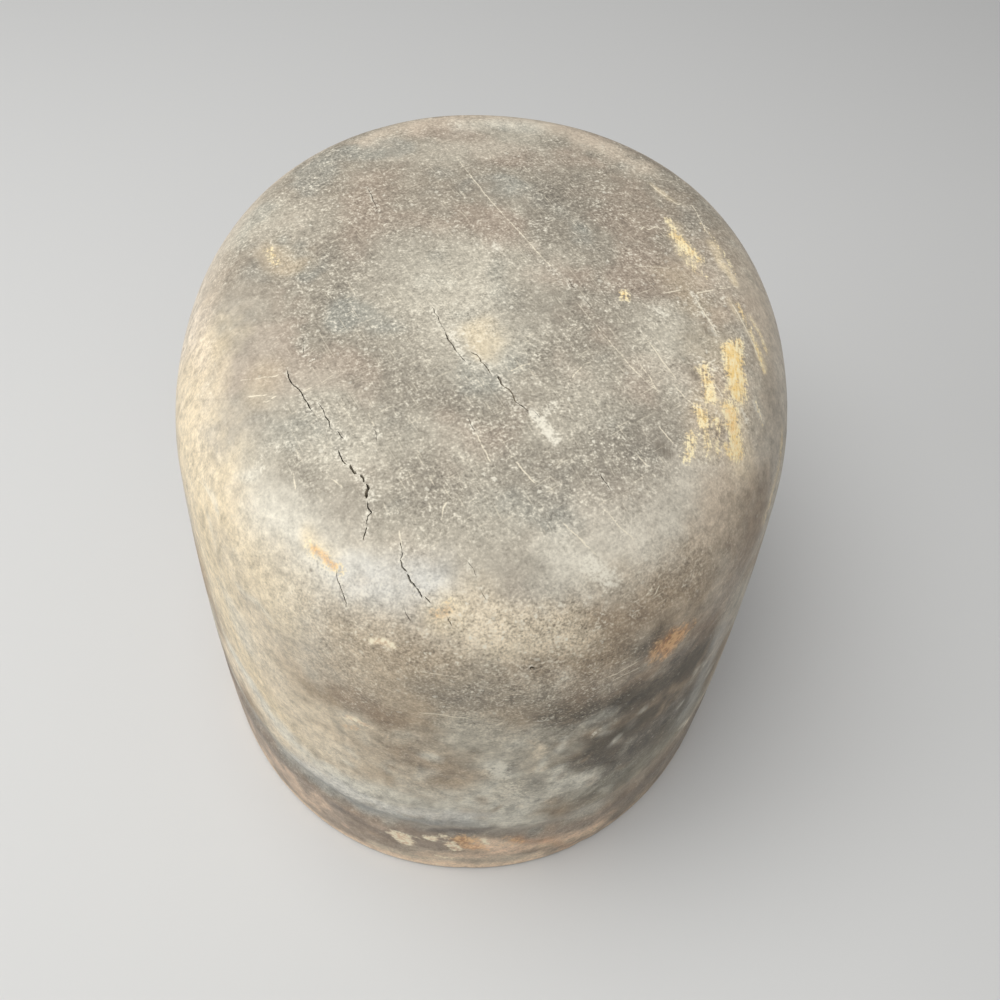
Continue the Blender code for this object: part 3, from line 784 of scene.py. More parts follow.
patches = {      # kind: width in mm, strength, pixels
    "yellow": [
        (2.2, 0.6, 668, 220, 678, 235),
        (3.4, 0.8, 675, 234, 686, 247, 698, 258),
        (2.6, 0.4, 680, 250, 692, 266, 704, 276),
        (1.6, 0.4, 700, 222, 716, 242, 738, 276),
        (1.8, 0.65, 738, 304, 752, 334, 764, 371),
        (1.5, 0.55, 751, 318, 760, 334, 767, 352),
        (1.3, 0.55, 757, 402, 760, 412, 763, 425),
        (2.6, 0.4, 783, 438, 776, 480, 765, 522),
        (5.4, 1.1, 733, 350, 735, 375, 737, 392),
        (2.0, 0.8, 740, 340, 741, 352),
        (4.2, 1.0, 731, 408, 734, 430, 738, 450),
        (2.2, 0.7, 727, 445, 733, 458),
        (3.0, 0.85, 706, 366, 708, 384, 711, 398),
        (2.4, 0.6, 698, 368, 704, 376),
        (3.2, 0.85, 700, 410, 705, 424),
        (2.4, 0.6, 717, 420, 720, 432),
        (2.8, 0.7, 693, 436, 688, 458),
        (2.2, 0.55, 707, 430, 708, 455),
        (2.0, 0.55, 717, 440, 719, 455),
        (2.6, 0.75, 624, 292, 625, 298),
        (2.6, 0.45, 268, 248, 276, 262),
        (3.0, 0.5, 310, 548, 322, 557, 338, 570),
        (4.0, 0.3, 438, 612, 450, 604),
    ],
    "orange": [
        (1.8, 0.75, 314, 549, 324, 557, 333, 566),
        (3.4, 0.5, 730, 411, 734, 428),
        (2.4, 0.4, 736, 442, 741, 456),
        (10.5, 0.8, 670, 644, 675, 640),
        (3.4, 0.5, 436, 616, 446, 608),
        (5.4, 1.0, 461, 841, 466, 847, 476, 848),
        (3.2, 0.55, 474, 840, 486, 850),
        (2.6, 0.4, 492, 846, 512, 846),
        (3.0, 0.5, 506, 840, 522, 843),
        (2.6, 0.4, 344, 727, 356, 728),
    ],
    "chip": [
        (6.2, 1.15, 400, 837, 404, 841),
        (2.2, 0.6, 416, 838, 420, 840),
        (3.2, 1.0, 428, 839, 434, 840),
        (2.6, 0.8, 442, 838, 446, 839),
        (4.2, 1.15, 451, 845, 457, 850),
        (1.4, 0.8, 404, 785, 405, 786),
        (1.6, 0.6, 440, 848, 442, 849),
        (2.2, 0.7, 484, 841, 486, 844),
        (2.0, 0.6, 436, 856, 450, 859),
        (1.9, 0.85, 373, 641, 382, 642, 392, 646),
        (2.5, 0.95, 347, 717, 356, 720, 365, 725),
        (1.7, 0.8, 385, 736, 389, 739),
    ],
    "chalk": [
        (2.2, 0.6, 450, 332, 458, 350, 464, 360, 476, 366),
        (2.4, 1.0, 532, 411, 540, 420, 556, 440),
        (2.6, 0.9, 540, 418, 551, 434),
        (2.4, 0.45, 500, 376, 512, 398, 534, 412),
        (2.6, 0.6, 545, 412, 556, 402),
        (2.6, 0.5, 512, 403, 520, 414),
        (3.4, 0.75, 318, 560, 330, 572),
        (2.4, 0.5, 350, 462, 366, 480, 374, 500),
        (4.0, 0.8, 590, 565, 602, 575, 612, 582),
        (1.8, 0.7, 494, 242, 497, 252),
        (2.0, 0.5, 545, 262, 560, 276),
        (2.0, 0.6, 693, 293, 703, 312, 716, 334),
        (1.8, 0.8, 744, 412, 748, 422),
        (3.0, 0.7, 656, 308, 664, 314),
        (4.0, 0.7, 702, 363, 712, 368),
        (2.4, 0.5, 260, 470, 246, 478),
        (4.4, 1.0, 498, 768, 500, 778),
        (4.0, 0.6, 510, 786, 516, 796),
        (2.2, 0.6, 540, 722, 548, 720),
        (2.0, 0.6, 590, 738, 600, 730),
        (2.0, 0.4, 258, 460, 270, 452, 300, 440),
        (1.6, 0.5, 560, 600, 563, 608),
    ],
    "stain": [
        (2.2, 0.8, 693, 372, 697, 378),
        (3.0, 0.6, 705, 328, 712, 334),
        (2.6, 0.5, 690, 334, 696, 342),
        (1.0, 0.9, 309, 568, 311, 571),
        (3.4, 0.7, 662, 446, 668, 452),
        (2.4, 0.4, 232, 455, 236, 458),
        (0.9, 0.8, 532, 669, 534, 670),
        (3.0, 0.5, 352, 806, 390, 820, 420, 828),
        (5.0, 0.4, 615, 760, 640, 748),
    ],
}


def pathDistance(points, path):      # to a line through a few points
    best = np.full(len(points), np.inf)
    for start, end in zip(path, path[1:]):
        start, along = np.array(start), np.array(end) - np.array(start)
        share = np.clip((points - start) @ along / max(along @ along, 1e-12), 0, 1)
        best = np.minimum(best, np.linalg.norm(points - start - share[:, None] * along, axis=1))
    return best


def markWeight(points, rough, path, width, softness):      # 1 along a mark, 0 away from it
    reach = pathDistance(points, path) / (width * mm / 2)
    near = reach < 3
    weight = np.zeros(len(points))
    weight[near] = 1 - smooth(1 - softness, 1 + softness, reach[near] + rough[near])
    return weight


def spread(colours, layers):      # lays tones over the colours, each by its weights, in turn
    for tone, weight in layers:
        colours = colours + (np.array(tones[tone]) - colours) * weight[:, None]
    return colours


def washLayers(marks, points, rough):
    for tone, path, width, strength, softness in marks:
        yield tone, markWeight(points, rough, path, width, softness) * strength


sideMarks = {      # on the sides that the photograph doesn't show, by angle from the front and height in mm
    "seed": 11,
    "from": 70,
    "to": 285,
    "washes": 46,
    "washTones": ("umber", "moss", "soot", "clay", "taupe", "paleMoss", "darkUmber", "sand"),
    "lumps": 230,         # small ones, also on the front
    "lumpTones": ["paleMoss", "moss", "clay", "slate", "umber"],
    "frontFrom": -18,
    "frontTo": 64,
    "clusters": 13,       # of small marks
    "clusterKinds": ("chalk", "yellow", "chalk", "orange", "chalk", "stain", "yellow"),
    "footChips": 16,
}


def randomMarks():      # seeded washes and patches of the same kinds for the unseen sides
    random = np.random.default_rng(sideMarks["seed"])
    uniform = random.uniform
    sides = sideMarks["from"], sideMarks["to"]
    madeWashes, madePatches = [], {kind: [] for kind in patches}
    for number in range(sideMarks["washes"]):
        azimuth, height, length, tilt = uniform(*sides), uniform(42, 112), uniform(6, 30), uniform(-3, 3)
        tone = sideMarks["washTones"][number % 8]
        path = wallPath(azimuth, height, length, tilt)
        madeWashes.append((tone, path, uniform(6, 20), uniform(0.4, 0.75), 0.9))

    for number in range(sideMarks["lumps"]):
        last = (sideMarks["frontTo"], sideMarks["to"])[number % 2]
        azimuth, height = uniform(sideMarks["frontFrom"], last), uniform(34, 82)
        tone = random.choice(sideMarks["lumpTones"])
        path = wallPath(azimuth, height, uniform(-1, 1), uniform(0, 5))
        madeWashes.append((tone, path, uniform(1.4, 4), uniform(0.3, 0.75), 0.8))

    for number in range(sideMarks["clusters"]):
        kind = sideMarks["clusterKinds"][number % 7]
        azimuth, height = uniform(*sides), uniform(48, 124)
        for _ in range(random.integers(2, 6)):
            turn, rise = random.normal(0, 3), random.normal(0, 3.5)
            path = wallPath(azimuth + turn, height + rise, uniform(0.3, 2.2), uniform(-5, 1))
            madePatches[kind].append((path, uniform(0.8, 2.6), uniform(0.35, 0.75)))

    for number in range(sideMarks["footChips"]):
        azimuth, height, length = uniform(*sides), uniform(3, 16), uniform(0.5, 3)
        width, tilt = uniform(1, 3.2), uniform(-1, 1)
        path = wallPath(azimuth, height, length, tilt)
        madePatches[("chip", "chalk")[number % 2]].append((path, width, 0.8))
    return madeWashes, madePatches


class Skin:      # the vertices of a board, with the noise and the regions that its colours follow
    def __init__(self, mesh):
        self.points, normals = self.read(mesh, "co"), self.read(mesh, "normal")
        x, y, z = self.points.T
        for seam in (crownSeam, middleSeam):      # the wall runs on past a seam
            normals[np.abs(z - seam) < 0.1 * mm, 2] = 0
        upward = normals[:, 2]
        self.count = len(z)
        self.tiny, self.small, self.broad, self.wide = (
            cloud(self.points, size * mm, 20 + size, 2) for size in (2, 5, 12, 30))
        self.rough = 0.28 * self.tiny + 0.42 * self.small
        shifts = [cloud(self.points, 14 * mm, seed, 3) for seed in (31, 32, 33)]
        self.bent = self.points + 4 * mm * np.column_stack(shifts)
        self.top = smooth(0.55, 0.9, upward)
        self.side = np.abs(upward) < 0.8
        self.under = 1 - smooth(-0.8, -0.5, upward)
        self.azimuth = np.degrees(np.arctan2(x, -y))
        self.unseen = smooth(60, 90, np.abs(self.azimuth - 15))
        self.toRight = smooth(-30, 50, self.azimuth) * (1 - smooth(110, 170, self.azimuth))
        # the rounded crown edge on the unseen sides, which gets a painted highlight over pale rubbed wood
        self.rim = smooth(0.25, 0.5, upward) * (1 - smooth(0.7, 0.9, upward)) * self.unseen
        self.fromTie = (z - tieHeight(x)) / mm + 2.2 * self.small + 1.2 * self.tiny + 1.8 * self.broad

    def read(self, mesh, kind):
        values = np.empty(len(mesh.vertices) * 3)
        mesh.vertices.foreach_get(kind, values)
        return values.reshape(-1, 3)


def skinColours(skin):
    tiny, small, broad, wide = skin.tiny, skin.small, skin.broad, skin.wide
    top, side, under, toRight, fromTie = skin.top, skin.side, skin.under, skin.toRight, skin.fromTie
    x, y, z = skin.points.T
    hue = cloud(skin.points, 17 * mm, 35, 2) + 0.3 * small
    colours = spread(np.tile(np.array(tones["umber"]), (skin.count, 1)), [
        ("moss", smooth(-0.1, 0.5, broad + 0.4 * small) * 0.8),
        ("soot", smooth(0.15, 0.6, wide + 0.3 * small) * 0.5),
        ("mist", smooth(0.62, 0.8, z / blockForm["height"]) * 0.85),
        ("ash", top),
        ("darkAsh", top * smooth(0.05, 0.6, broad + 0.3 * small) * 0.5),
        ("paleAsh", top * smooth(0.1, 0.6, -broad + 0.4 * tiny) * 0.35),
        ("coolAsh", top * smooth(0.05, 0.5, hue) * 0.7),
        ("warmAsh", top * smooth(0.05, 0.5, -hue) * 0.6),
    ])
    colours = spread(colours, washLayers(allWashes, skin.bent, skin.rough))

    # painted shade in and above the tie line's groove, and below it the dark line: dirt with painted shadow
    shade = smooth(-6, 0, fromTie) * (1 - smooth(3, 10, fromTie))
    belowTie = side * (1 - smooth(-7, 0, fromTie + 3 * broad))
    line = smooth(-11, -6, fromTie) * (1 - smooth(-6, 1, fromTie))
    uneven = np.clip(0.5 - 0.3 * toRight + 0.5 * broad + 0.35 * wide, 0, 0.85)
    uneven *= 1 - 0.75 * smooth(-32, -14, skin.azimuth) * (1 - smooth(30, 60, skin.azimuth))
    colours = spread(colours, [
        ("footBrown", belowTie * 0.95),
        ("darkUmber", belowTie * smooth(-0.1, 0.5, small + broad) * 0.45),
        ("flesh", belowTie * smooth(0, 0.6, broad - small) * 0.45),
        ("footDark", belowTie * toRight * 0.8),
        ("blueGrey", side * shade * (0.6 - 0.45 * toRight)),
        ("dirt", side * line * uneven),
    ])
    colours = spread(colours, washLayers(allFootWashes, skin.bent, skin.rough))

    # the foot's lower edge: pale worn wood with a painted highlight, weaker on the right
    edge = 1 - smooth(1.5, 5.5, z / mm + 2 * small + tiny + 1.5 * broad)
    outward = np.hypot(x / blockForm["halfWidth"], y / blockForm["halfLength"]) + 0.1 * broad
    fromFlange = np.hypot(x, y) / mm + 5 * broad + 2 * small
    return spread(colours, [
        ("footBare", side * edge * (0.8 - 0.3 * toRight)),
        # painted highlight over pale rubbed wood on the crown edge
        ("dune", skin.rim * (0.25 + 0.35 * smooth(-0.2, 0.5, broad))),
        ("planed", under),
        ("grime", under * smooth(0, 0.7, broad + 0.4 * small) * 0.45),
        ("grime", under * (1 - smooth(38, 52, fromFlange)) * 0.6),
        ("grime", under * smooth(0.72, 1, outward) * 0.55),
        ("sand", under * smooth(0.93, 1.04, outward) * 0.7),
        ("moss", under * smooth(0.2, 0.8, wide) * 0.35),
    ])


def skinWear(skin):      # how far each kind of wear goes, and where the lines run
    points, off, under = skin.points, 1 - skin.top, skin.under
    tiny, small, broad = skin.tiny, skin.small, skin.broad
    wear = {}
    for kind, marks in allMarks.items():
        wear[kind] = np.zeros(skin.count)
        for path, width, strength in marks:
            weight = markWeight(points, skin.rough * 0.8, path, width, 0.9) * strength
            wear[kind] = np.maximum(wear[kind], weight)
    distance, crackWide, _, aside = cracks.near(points)
    crackSide = np.clip(aside / mm, -3, 3)
    wear["crack"] = 1 - smooth(0.5 * mm, 1.0 * mm, distance)
    dusty = (0.42 + 0.2 * small) * (1 - smooth(0.2 * mm, 1.8 * mm, distance + 0.5 * mm * tiny))
    wear["chalk"] = np.maximum(wear["chalk"], dusty)
    distance, scratchWide, strong, aside = scratches.near(points)
    wear["scratch"] = strong * (1 - smooth(0.4 * mm, 0.9 * mm, distance))

    fleck = skin.top * (0.62 + 0.35 * broad + 0.25 * small - 0.3 * smooth(30 * mm, 80 * mm, points[:, 1]))
    fleck += off * (0.12 + 0.2 * broad)
    wear["fleck"] = fleck * (1 - 0.9 * wear.pop("calm")) + wear.pop("specks") * off
    streaks = skin.unseen * off * smooth(0, 0.6, skin.wide) * 0.7
    mottles = skin.unseen * off * smooth(-0.2, 0.5, broad) * 0.8
    wear["streaks"] = np.maximum(wear["streaks"], streaks)
    wear["mottles"] = np.maximum.reduce([wear["mottles"], mottles, 0.4 * off * (1 - under)])
    wear["gloss"] = off * (0.75 + 0.25 * broad) * (1 - under)
    wear["plank"] = under
    wear = {kind: np.clip(values, 0, 1.2) for kind, values in wear.items()}
    wear.update(crackWide=crackWide / mm, crackSide=crackSide)
    wear.update(scratchWide=scratchWide / mm, scratchSide=np.clip(aside / mm, -3, 3))
    return wear


def paintSkin(piece):      # colours and wear at every vertex of a board
    skin = Skin(piece.data)
    colours = np.column_stack([skinColours(skin), np.ones(skin.count)])
    paint = piece.data.attributes.new("paint", "FLOAT_COLOR", "POINT")
    paint.data.foreach_set("color", colours.ravel())
    for kind, values in skinWear(skin).items():
        layer = piece.data.attributes.new(kind, "FLOAT", "POINT")
        layer.data.foreach_set("value", values)


sideWashes, sidePatches = randomMarks()
allWashes, allFootWashes = ([(mark[0], onPixels(mark[4:]), *mark[1:4]) for mark in marks]
                            for marks in (washes, footWashes))
allWashes += sideWashes
allMarks = {kind: traced(marks, onPixels) for kind, marks in {**patches, **textures}.items()}
for kind, marks in sidePatches.items():
    allMarks[kind] += marks


# The finishes

grainLine = (455, 155, 660, 395)      # pixels at the two ends of one long grain line
grainFrom, grainTo = onPixels(grainLine)
grainTurn = math.atan2(grainTo.y - grainFrom.y, grainTo.x - grainFrom.x)


class Finish(Graph):      # a material's nodes, with the patterns that several finishes use
    def __init__(self, name):
        self.material = bpy.data.materials.new(name)
        self.material.use_nodes = True
        super().__init__(self.material.node_tree)
        self.shader = self.tree.nodes["Principled BSDF"]
        self.place = self.add("ShaderNodeTexCoord", output="Object")
        self.colour = None

    def scaled(self, size, shift, stretch=(1, 1, 1), turn=0.0):      # places in units of a size in mm
        settings = {"Vector": self.place, "Location": (shift, shift * 0.7, shift * 0.4),
                    "Rotation": (0, 0, turn), "Scale": [size * mm * part for part in stretch]}
        return self.add("ShaderNodeMapping", settings, vector_type="TEXTURE")

    def noise(self, size, stretch=(1, 1, 1), turn=0.0, shift=0.0, detail=2.0, bend=0.0):
        place = self.scaled(size, shift, stretch, turn)
        return self.add("ShaderNodeTexNoise", {"Vector": place, "Scale": 1, "Detail": detail,
                                               "Roughness": 0.55, "Distortion": bend})

    def dots(self, size, shift):      # distance to the nearest of scattered dots, and each dot's chance
        settings = {"Vector": self.scaled(size, shift), "Scale": 1, "Randomness": 1}
        away = self.add("ShaderNodeTexVoronoi", settings)
        colour = Wire(self, away.socket.node.outputs["Color"])
        return away, self.add("ShaderNodeSeparateColor", {"Color": colour})

    def attributes(self, *names):
        return [self.add("ShaderNodeAttribute", output="Fac", attribute_name=name) for name in names]

    def lay(self, amount, over):      # a colour over what is there
        self.colour = self.mix(amount, self.colour, over)

    def set(self, **values):      # the shader's own sockets
        for name, value in values.items():
            socket = self.shader.inputs[name.replace("_", " ")]
            if isinstance(value, Wire):
                self.tree.links.new(value.socket, socket)
            else:
                socket.default_value = value

    def bump(self, height, depth):      # depth in mm
        values = {"Height": height, "Distance": depth * mm, "Strength": 1}
        self.set(Normal=self.add("ShaderNodeBump", values))


woodLook = {
    "clouds": 0.30,          # how far broad lumps change the tone
    "lumps": 0.45,
    "grit": 0.85,
    "grain": 0.30,
    "crossGrain": 0.2,
    "fibres": 0.12,
    "smears": 1.0,           # on the wall
    "streaks": 0.7,
    "mottles": 1.7,
    "planks": 1.3,           # grain of the underside
    "sand": 1.1,             # fine speckle
    "fleckColour": ink(240, 234, 216),
    "dustColour": ink(228, 221, 202),
    "pepperColour": ink(88, 80, 70),
    "scratchColour": ink(240, 230, 206),
    "yellowWood": ink(255, 240, 196),
    "yellowShade": ink(250, 214, 140),
    "orangeWood": ink(244, 200, 142),
    "orangeShade": ink(198, 138, 84),
    "chipWood": ink(255, 243, 212),
    "chipShade": ink(236, 204, 168),
    "crackColour": ink(12, 10, 8),
    "stainColour": ink(84, 74, 62),
    "matt": 0.85,
    "rubbed": 0.5,
    "shine": 0.3,            # specular level of the dry wood
    "polish": 0.4,           # coat on the rubbed wall
    "polishRoughness": 0.42,
    "bumpDepth": 0.14,       # mm
}


def makeWood(name):
    look, wood = woodLook, Finish(name)
    yellow, orange, chip, chalk, stain, scratch, crack = wood.attributes(
        "yellow", "orange", "chip", "chalk", "stain", "scratch", "crack")
    fleck, gloss, streaked, mottled, plank = wood.attributes("fleck", "gloss", "streaks", "mottles", "plank")
    clouds, lumps = wood.noise(9, detail=3), wood.noise(2.6, shift=0.31)
    grit, fine = wood.noise(0.95, shift=0.17, detail=3), wood.noise(0.5, shift=0.53, detail=1)
    sand, lumpy = wood.noise(0.56, shift=0.91), wood.noise(2.1, shift=0.59, detail=3)
    grain = wood.noise(0.8, (24, 1, 1), grainTurn, 0.71, 3)
    fibres = wood.noise(0.5, (1, 10, 1), 0, 0.47)
    cross = wood.noise(0.5, (11, 1, 1), grainTurn - 1.45, 0.13, 1)
    along = wood.noise(0.45, (18, 1, 1), grainTurn, 0.23, 1)
    smears = wood.noise(2.6, (1.2, 1.2, 1), 0, 0.37, 4, 0.6)
    blots = wood.noise(3.2, (1.1, 1.1, 1), 0, 0.67, 4, 0.5)
    planks = wood.noise(1.3, (40, 1, 1), grainTurn, 0.77, 4)
    streaks = wood.noise(1.6, (1, 1, 9), 0, 0.29, 4, 0.8)
    flecks, fleckChance = wood.dots(1.9, 0.83)

    dry = 1 - gloss * 0.6
    tone = 1
    for pattern, amount in (
            (clouds, look["clouds"]), (lumps, look["lumps"]), (cross, look["crossGrain"]),
            (grain, look["grain"] * dry), (grit, look["grit"] * (0.4 + fleck * dry)),
            (sand, look["sand"] * (0.3 + fleck) * (1 + gloss * 0.5)), (smears, look["smears"] * gloss),
            (fibres, look["fibres"] * gloss), (streaks, look["streaks"] * streaked),
            (blots, look["mottles"] * mottled), (planks, look["planks"] * plank)):
        tone = (pattern - 0.5) * amount + tone
    paint = wood.add("ShaderNodeAttribute", output="Color", attribute_name="paint")
    wood.colour = wood.mix(1.0, paint, tone, "MULTIPLY")

    cluster = (lumps * 0.6 + clouds * 0.4).above(0.38, 0.62)
    pepper = (grit * 0.4 + fine * 0.6).above(0.45, 0.34) * (0.05 + fleck * 0.4)
    salt = (sand * 0.6 + grit * 0.4).above(0.525, 0.61) * (0.3 + cluster) * fleck
    haze = (grit * 0.5 + lumps * 0.5).above(0.5, 0.66) * cluster * fleck * 0.3
    crumbs = (sand * 0.4 + grit * 0.6).above(0.59, 0.65) * (0.25 + cluster) * fleck
    spots = (flecks + (grit - 0.5) * 1.4).above(0.24, 0.1) * fleckChance.above(0.62, 1.1)
    lines = cross.above(0.67, 0.75) + along.above(0.65, 0.73)
    wood.lay(pepper, look["pepperColour"])
    wood.lay(salt.clamped() * 0.68, look["dustColour"])
    wood.lay(haze, look["dustColour"])
    wood.lay(crumbs.clamped() * 0.85, look["fleckColour"])
    wood.lay((spots * (0.2 + fleck)).clamped() * 0.9, look["fleckColour"])
    wood.lay((lines * 0.42 * (0.1 + fleck)).clamped(), look["scratchColour"])

    def ragged(kind, low, high, noises, sure=0.3):      # a kind of wear, its edge broken up by noises
        edge = kind
        for noise, amount in noises:
            edge = (noise - 0.5) * amount + edge
        return edge.above(low, high) * kind.above(0.02, sure)

    dusty = ragged(chalk, 0.15, 1.2, [(grit, 1.6), (sand, 1.6), (lumpy, 0.8)])
    bare = ragged(yellow, 0.24, 0.98, [(fibres, 1.445), (grit, 1.275), (sand, 1.2)])
    chipped = ragged(orange, 0.2, 0.9, [(lumpy, 1), (grit, 0.9), (sand, 0.8)])
    flaked = ragged(chip, 0.26, 1.0, [(lumpy, 1.6), (grit, 0.8)])
    dark = ragged(stain, 0.25, 0.85, [(fibres, 0.85), (grit, 0.75), (sand, 1)], 0.2)
    fresh = (fibres * 0.8 + grit * 0.4 + lumps * 0.5).above(0.7, 1.0)
    coarse = grit * 0.5 + lumpy * 0.5
    wood.lay(dusty * 0.9, look["fleckColour"])
    wood.lay(bare * 0.94, wood.mix(fresh, look["yellowShade"], look["yellowWood"]))
    wood.lay(chipped * 0.68, wood.mix(coarse.above(0.42, 0.56), look["orangeShade"], look["orangeWood"]))
    wood.lay(flaked * 0.94, wood.mix(coarse.above(0.4, 0.58), look["chipShade"], look["chipWood"]))
    wood.lay(dark * 0.6, look["stainColour"])

    aside, reach = wood.attributes("scratchSide", "scratchWide")
    worn = (aside + (fine - 0.5) * 0.35).math("ABSOLUTE").above(reach + 0.16, reach * 0.2)
    worn = worn * (scratch + (grit - 0.5) * 2.2 + (lumps - 0.5) * 1.2).above(0.05, 0.85)
    wood.lay(worn * 0.85, look["scratchColour"])
    aside, reach = wood.attributes("crackSide", "crackWide")
    gaping = (aside + (fine - 0.5) * 0.14).math("ABSOLUTE").above(reach + 0.01, reach * 0.7)
    wood.lay(gaping * crack, look["crackColour"])

    rough = look["matt"] + (look["rubbed"] - look["matt"]) * gloss + (grit - 0.5) * 0.25
    wood.set(Base_Color=wood.colour, Roughness=(rough + bare * 0.15 + dusty * 0.2).clamped())
    wood.set(Specular_IOR_Level=look["shine"], Coat_Roughness=look["polishRoughness"])
    wood.set(Coat_Weight=(gloss * look["polish"] * (1 - bare) * (1 - dusty)).clamped())
    height = grit * 0.5 + fine * 0.2 + grain * 0.35 + crumbs * 0.15
    height = height - bare * 0.4 - chipped * 0.4 - flaked * 0.5
    wood.bump(height + streaks * streaked * 0.5, look["bumpDepth"])
    return wood.material


# Building the boards

def ringFaces(bm, upper, lower):
    for k in range(len(upper)):
        after = (k + 1) % len(upper)
        bm.faces.new((upper[k], lower[k], lower[after], upper[after]))


def addRing(bm, x, y, height):
    return [bm.verts.new((px, py, height)) for px, py in zip(x, y)]


def addRings(bm, upper, rings):      # a wall from ring to ring; returns the last one
    for ring in rings:
        lower = addRing(bm, *ring)
        ringFaces(bm, upper, lower)
        upper = lower
    return upper


def refineAlong(bm, lines, reaches):      # halves the faces near the lines, once for each reach
    for reach in reaches:
        near = {vert for vert in bm.verts if lines.tree.find(vert.co)[2] < reach}
        edges = [edge for edge in bm.edges if near.issuperset(edge.verts)]
        bmesh.ops.subdivide_edges(bm, edges=edges, cuts=1, use_grid_fill=True)


def pressRelief(bm, flatHeights):      # draws the skin in; vertices at a flat height keep it
    bm.normal_update()
    points, normals = (np.array([getattr(vert, kind) for vert in bm.verts]) for kind in ("co", "normal"))
    moved = points - normals * reliefDepth(points, normals)[:, None]
    for height in flatHeights:
        moved[np.abs(points[:, 2] - height) < hair, 2] = height
    for vert, place in zip(bm.verts, moved):
        vert.co = place


def rimAt(bm, height):      # the open rim at a height, in order round the block
    found = [vert for vert in bm.verts if vert.is_boundary and abs(vert.co.z - height) < hair]
    return sorted(found, key=lambda vert: (math.atan2(vert.co.y, vert.co.x) + hair) % math.tau)


def fillAround(bm, *rims):      # a flat face between an outer rim and any inner ones
    edges = []
    for rim in rims:
        for pair in zip(rim, rim[1:] + rim[:1]):
            edges.append(bm.edges.get(pair) or bm.edges.new(pair))
    bmesh.ops.triangle_fill(bm, use_beauty=True, use_dissolve=False, edges=edges)


def boredHole(bm, x, y, steps, sides=32):      # a blind hole of (radius, height) steps; returns its mouth
    turns = np.arange(sides) * math.tau / sides
    rings = [(x + radius * np.cos(turns), y + radius * np.sin(turns), height) for radius, height in steps]
    mouth = addRing(bm, *rings[0])
    bm.faces.new(addRings(bm, mouth, rings[1:]))
    return mouth


def dowelHoles(bm, names, mouth, upward):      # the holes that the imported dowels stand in
    rims = []
    for name in names:
        low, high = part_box(name)
        x, y, _ = (low + high) / 2
        radius = (high.x - low.x) / 2 + clearance
        end = high.z + clearance if upward else low.z - clearance
        rims.append(boredHole(bm, x, y, [(radius, mouth), (radius, end)]))
    return rims


def finished(bm, name):      # a closed mesh object at the origin
    bmesh.ops.recalc_face_normals(bm, faces=bm.faces)
    mesh = meshFrom(bm, name)
    mesh.shade_smooth()
    mesh.set_sharp_from_angle(angle=math.radians(meshDetail["sharpEdge"]))
    return placed(name, mesh)


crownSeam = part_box("crown_board")[0].z
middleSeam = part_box("middle_board")[0].z
upperDowels = ("upper_dowel_front", "upper_dowel_rear")
lowerDowels = ("lower_dowel_left", "lower_dowel_right")


def crownSkin():      # a square grid pressed onto the oval tip, then rings down the edge and the wall
    side = meshDetail["columns"] // 4
    steps = np.linspace(-1, 1, side + 1)
    a, b = (grid.ravel() for grid in np.meshgrid(steps, steps, indexing="ij"))
    wide = np.abs(a) >= np.abs(b)
    reach = np.maximum(np.abs(a), np.abs(b))
    safeA, safeB = np.where(a == 0, 1, a), np.where(b == 0, 1, b)
    turn = np.where(wide, math.pi / 4 * b / safeA, math.pi / 2 - math.pi / 4 * a / safeB)
    turn += math.pi * np.where(wide, a < 0, b < 0)
    x, y = ovalPoints(turn, crownEdge(edgeSweep)[1])
    heights = blockForm["height"] - blockForm["dome"] * reach ** 2
    bm = bmesh.new()
    grid = [bm.verts.new(place) for place in zip(x * reach, y * reach, heights)]
    for i in range(side):
        for j in range(side):
            corner = i * (side + 1) + j
            bm.faces.new([grid[corner + k] for k in (0, side + 1, side + 2, 1)])
    rim = sorted(np.flatnonzero(reach > 1 - hair), key=lambda k: (turn[k] + hair) % math.tau)
    arc = math.hypot(blockForm["edgeReach"], blockForm["edgeDrop"]) * meshDetail["edgeArc"]
    levels = [crownEdge(t) for t in np.linspace(edgeSweep, 0, int(arc / meshDetail["ring"]) + 1)[1:]]
    wall = np.linspace(shoulderHeight, crownSeam, int((shoulderHeight - crownSeam) / meshDetail["ring"]) + 1)
    levels += [(height, wallInset(height)) for height in wall[1:]]
    rings = ((*ovalPoints(angles, inset), height) for height, inset in levels)
    addRings(bm, [grid[k] for k in rim], rings)
    return bm


def namedTree(name, floats, counts, takesMesh=False):      # a Geometry Nodes tree with its named inputs
    tree = bpy.data.node_groups.new(name, "GeometryNodeTree")
    tree.is_modifier = True
    tree.interface.new_socket("Made", in_out="OUTPUT", socket_type="NodeSocketGeometry")
    kinds = [("Mesh", "Geometry")] if takesMesh else []
    kinds += [(key, "Float") for key in floats] + [(key, "Int") for key in counts] + [("finish", "Material")]
    for key, kind in kinds:
        tree.interface.new_socket(key, in_out="INPUT", socket_type="NodeSocket" + kind)
    graph = Graph(tree)
    outputs = graph.add("NodeGroupInput").socket.node.outputs
    return tree, {socket.name: Wire(graph, socket) for socket in outputs if socket.name}, graph


def unitGrid(graph, columns, rows):      # a flat grid, and how far along and up it each point is, 0 to 1
    sizes = {"Size X": 1, "Size Y": 1, "Vertices X": columns + 1, "Vertices Y": rows + 1}
    place = graph.add("ShaderNodeSeparateXYZ", {0: graph.add("GeometryNodeInputPosition")}).socket.node
    return graph.add("GeometryNodeMeshGrid", sizes), *(Wire(graph, place.outputs[k]) + 0.5 for k in (0, 1))


def shaped(graph, sheet, gap, *parts):      # the grid at its new places, closed where it meets itself
    spot = graph.add("ShaderNodeCombineXYZ", dict(enumerate(parts)))
    made = graph.add("GeometryNodeSetPosition", {"Geometry": sheet, "Position": spot})
    return graph.add("GeometryNodeMergeByDistance", {"Geometry": made, "Distance": gap})


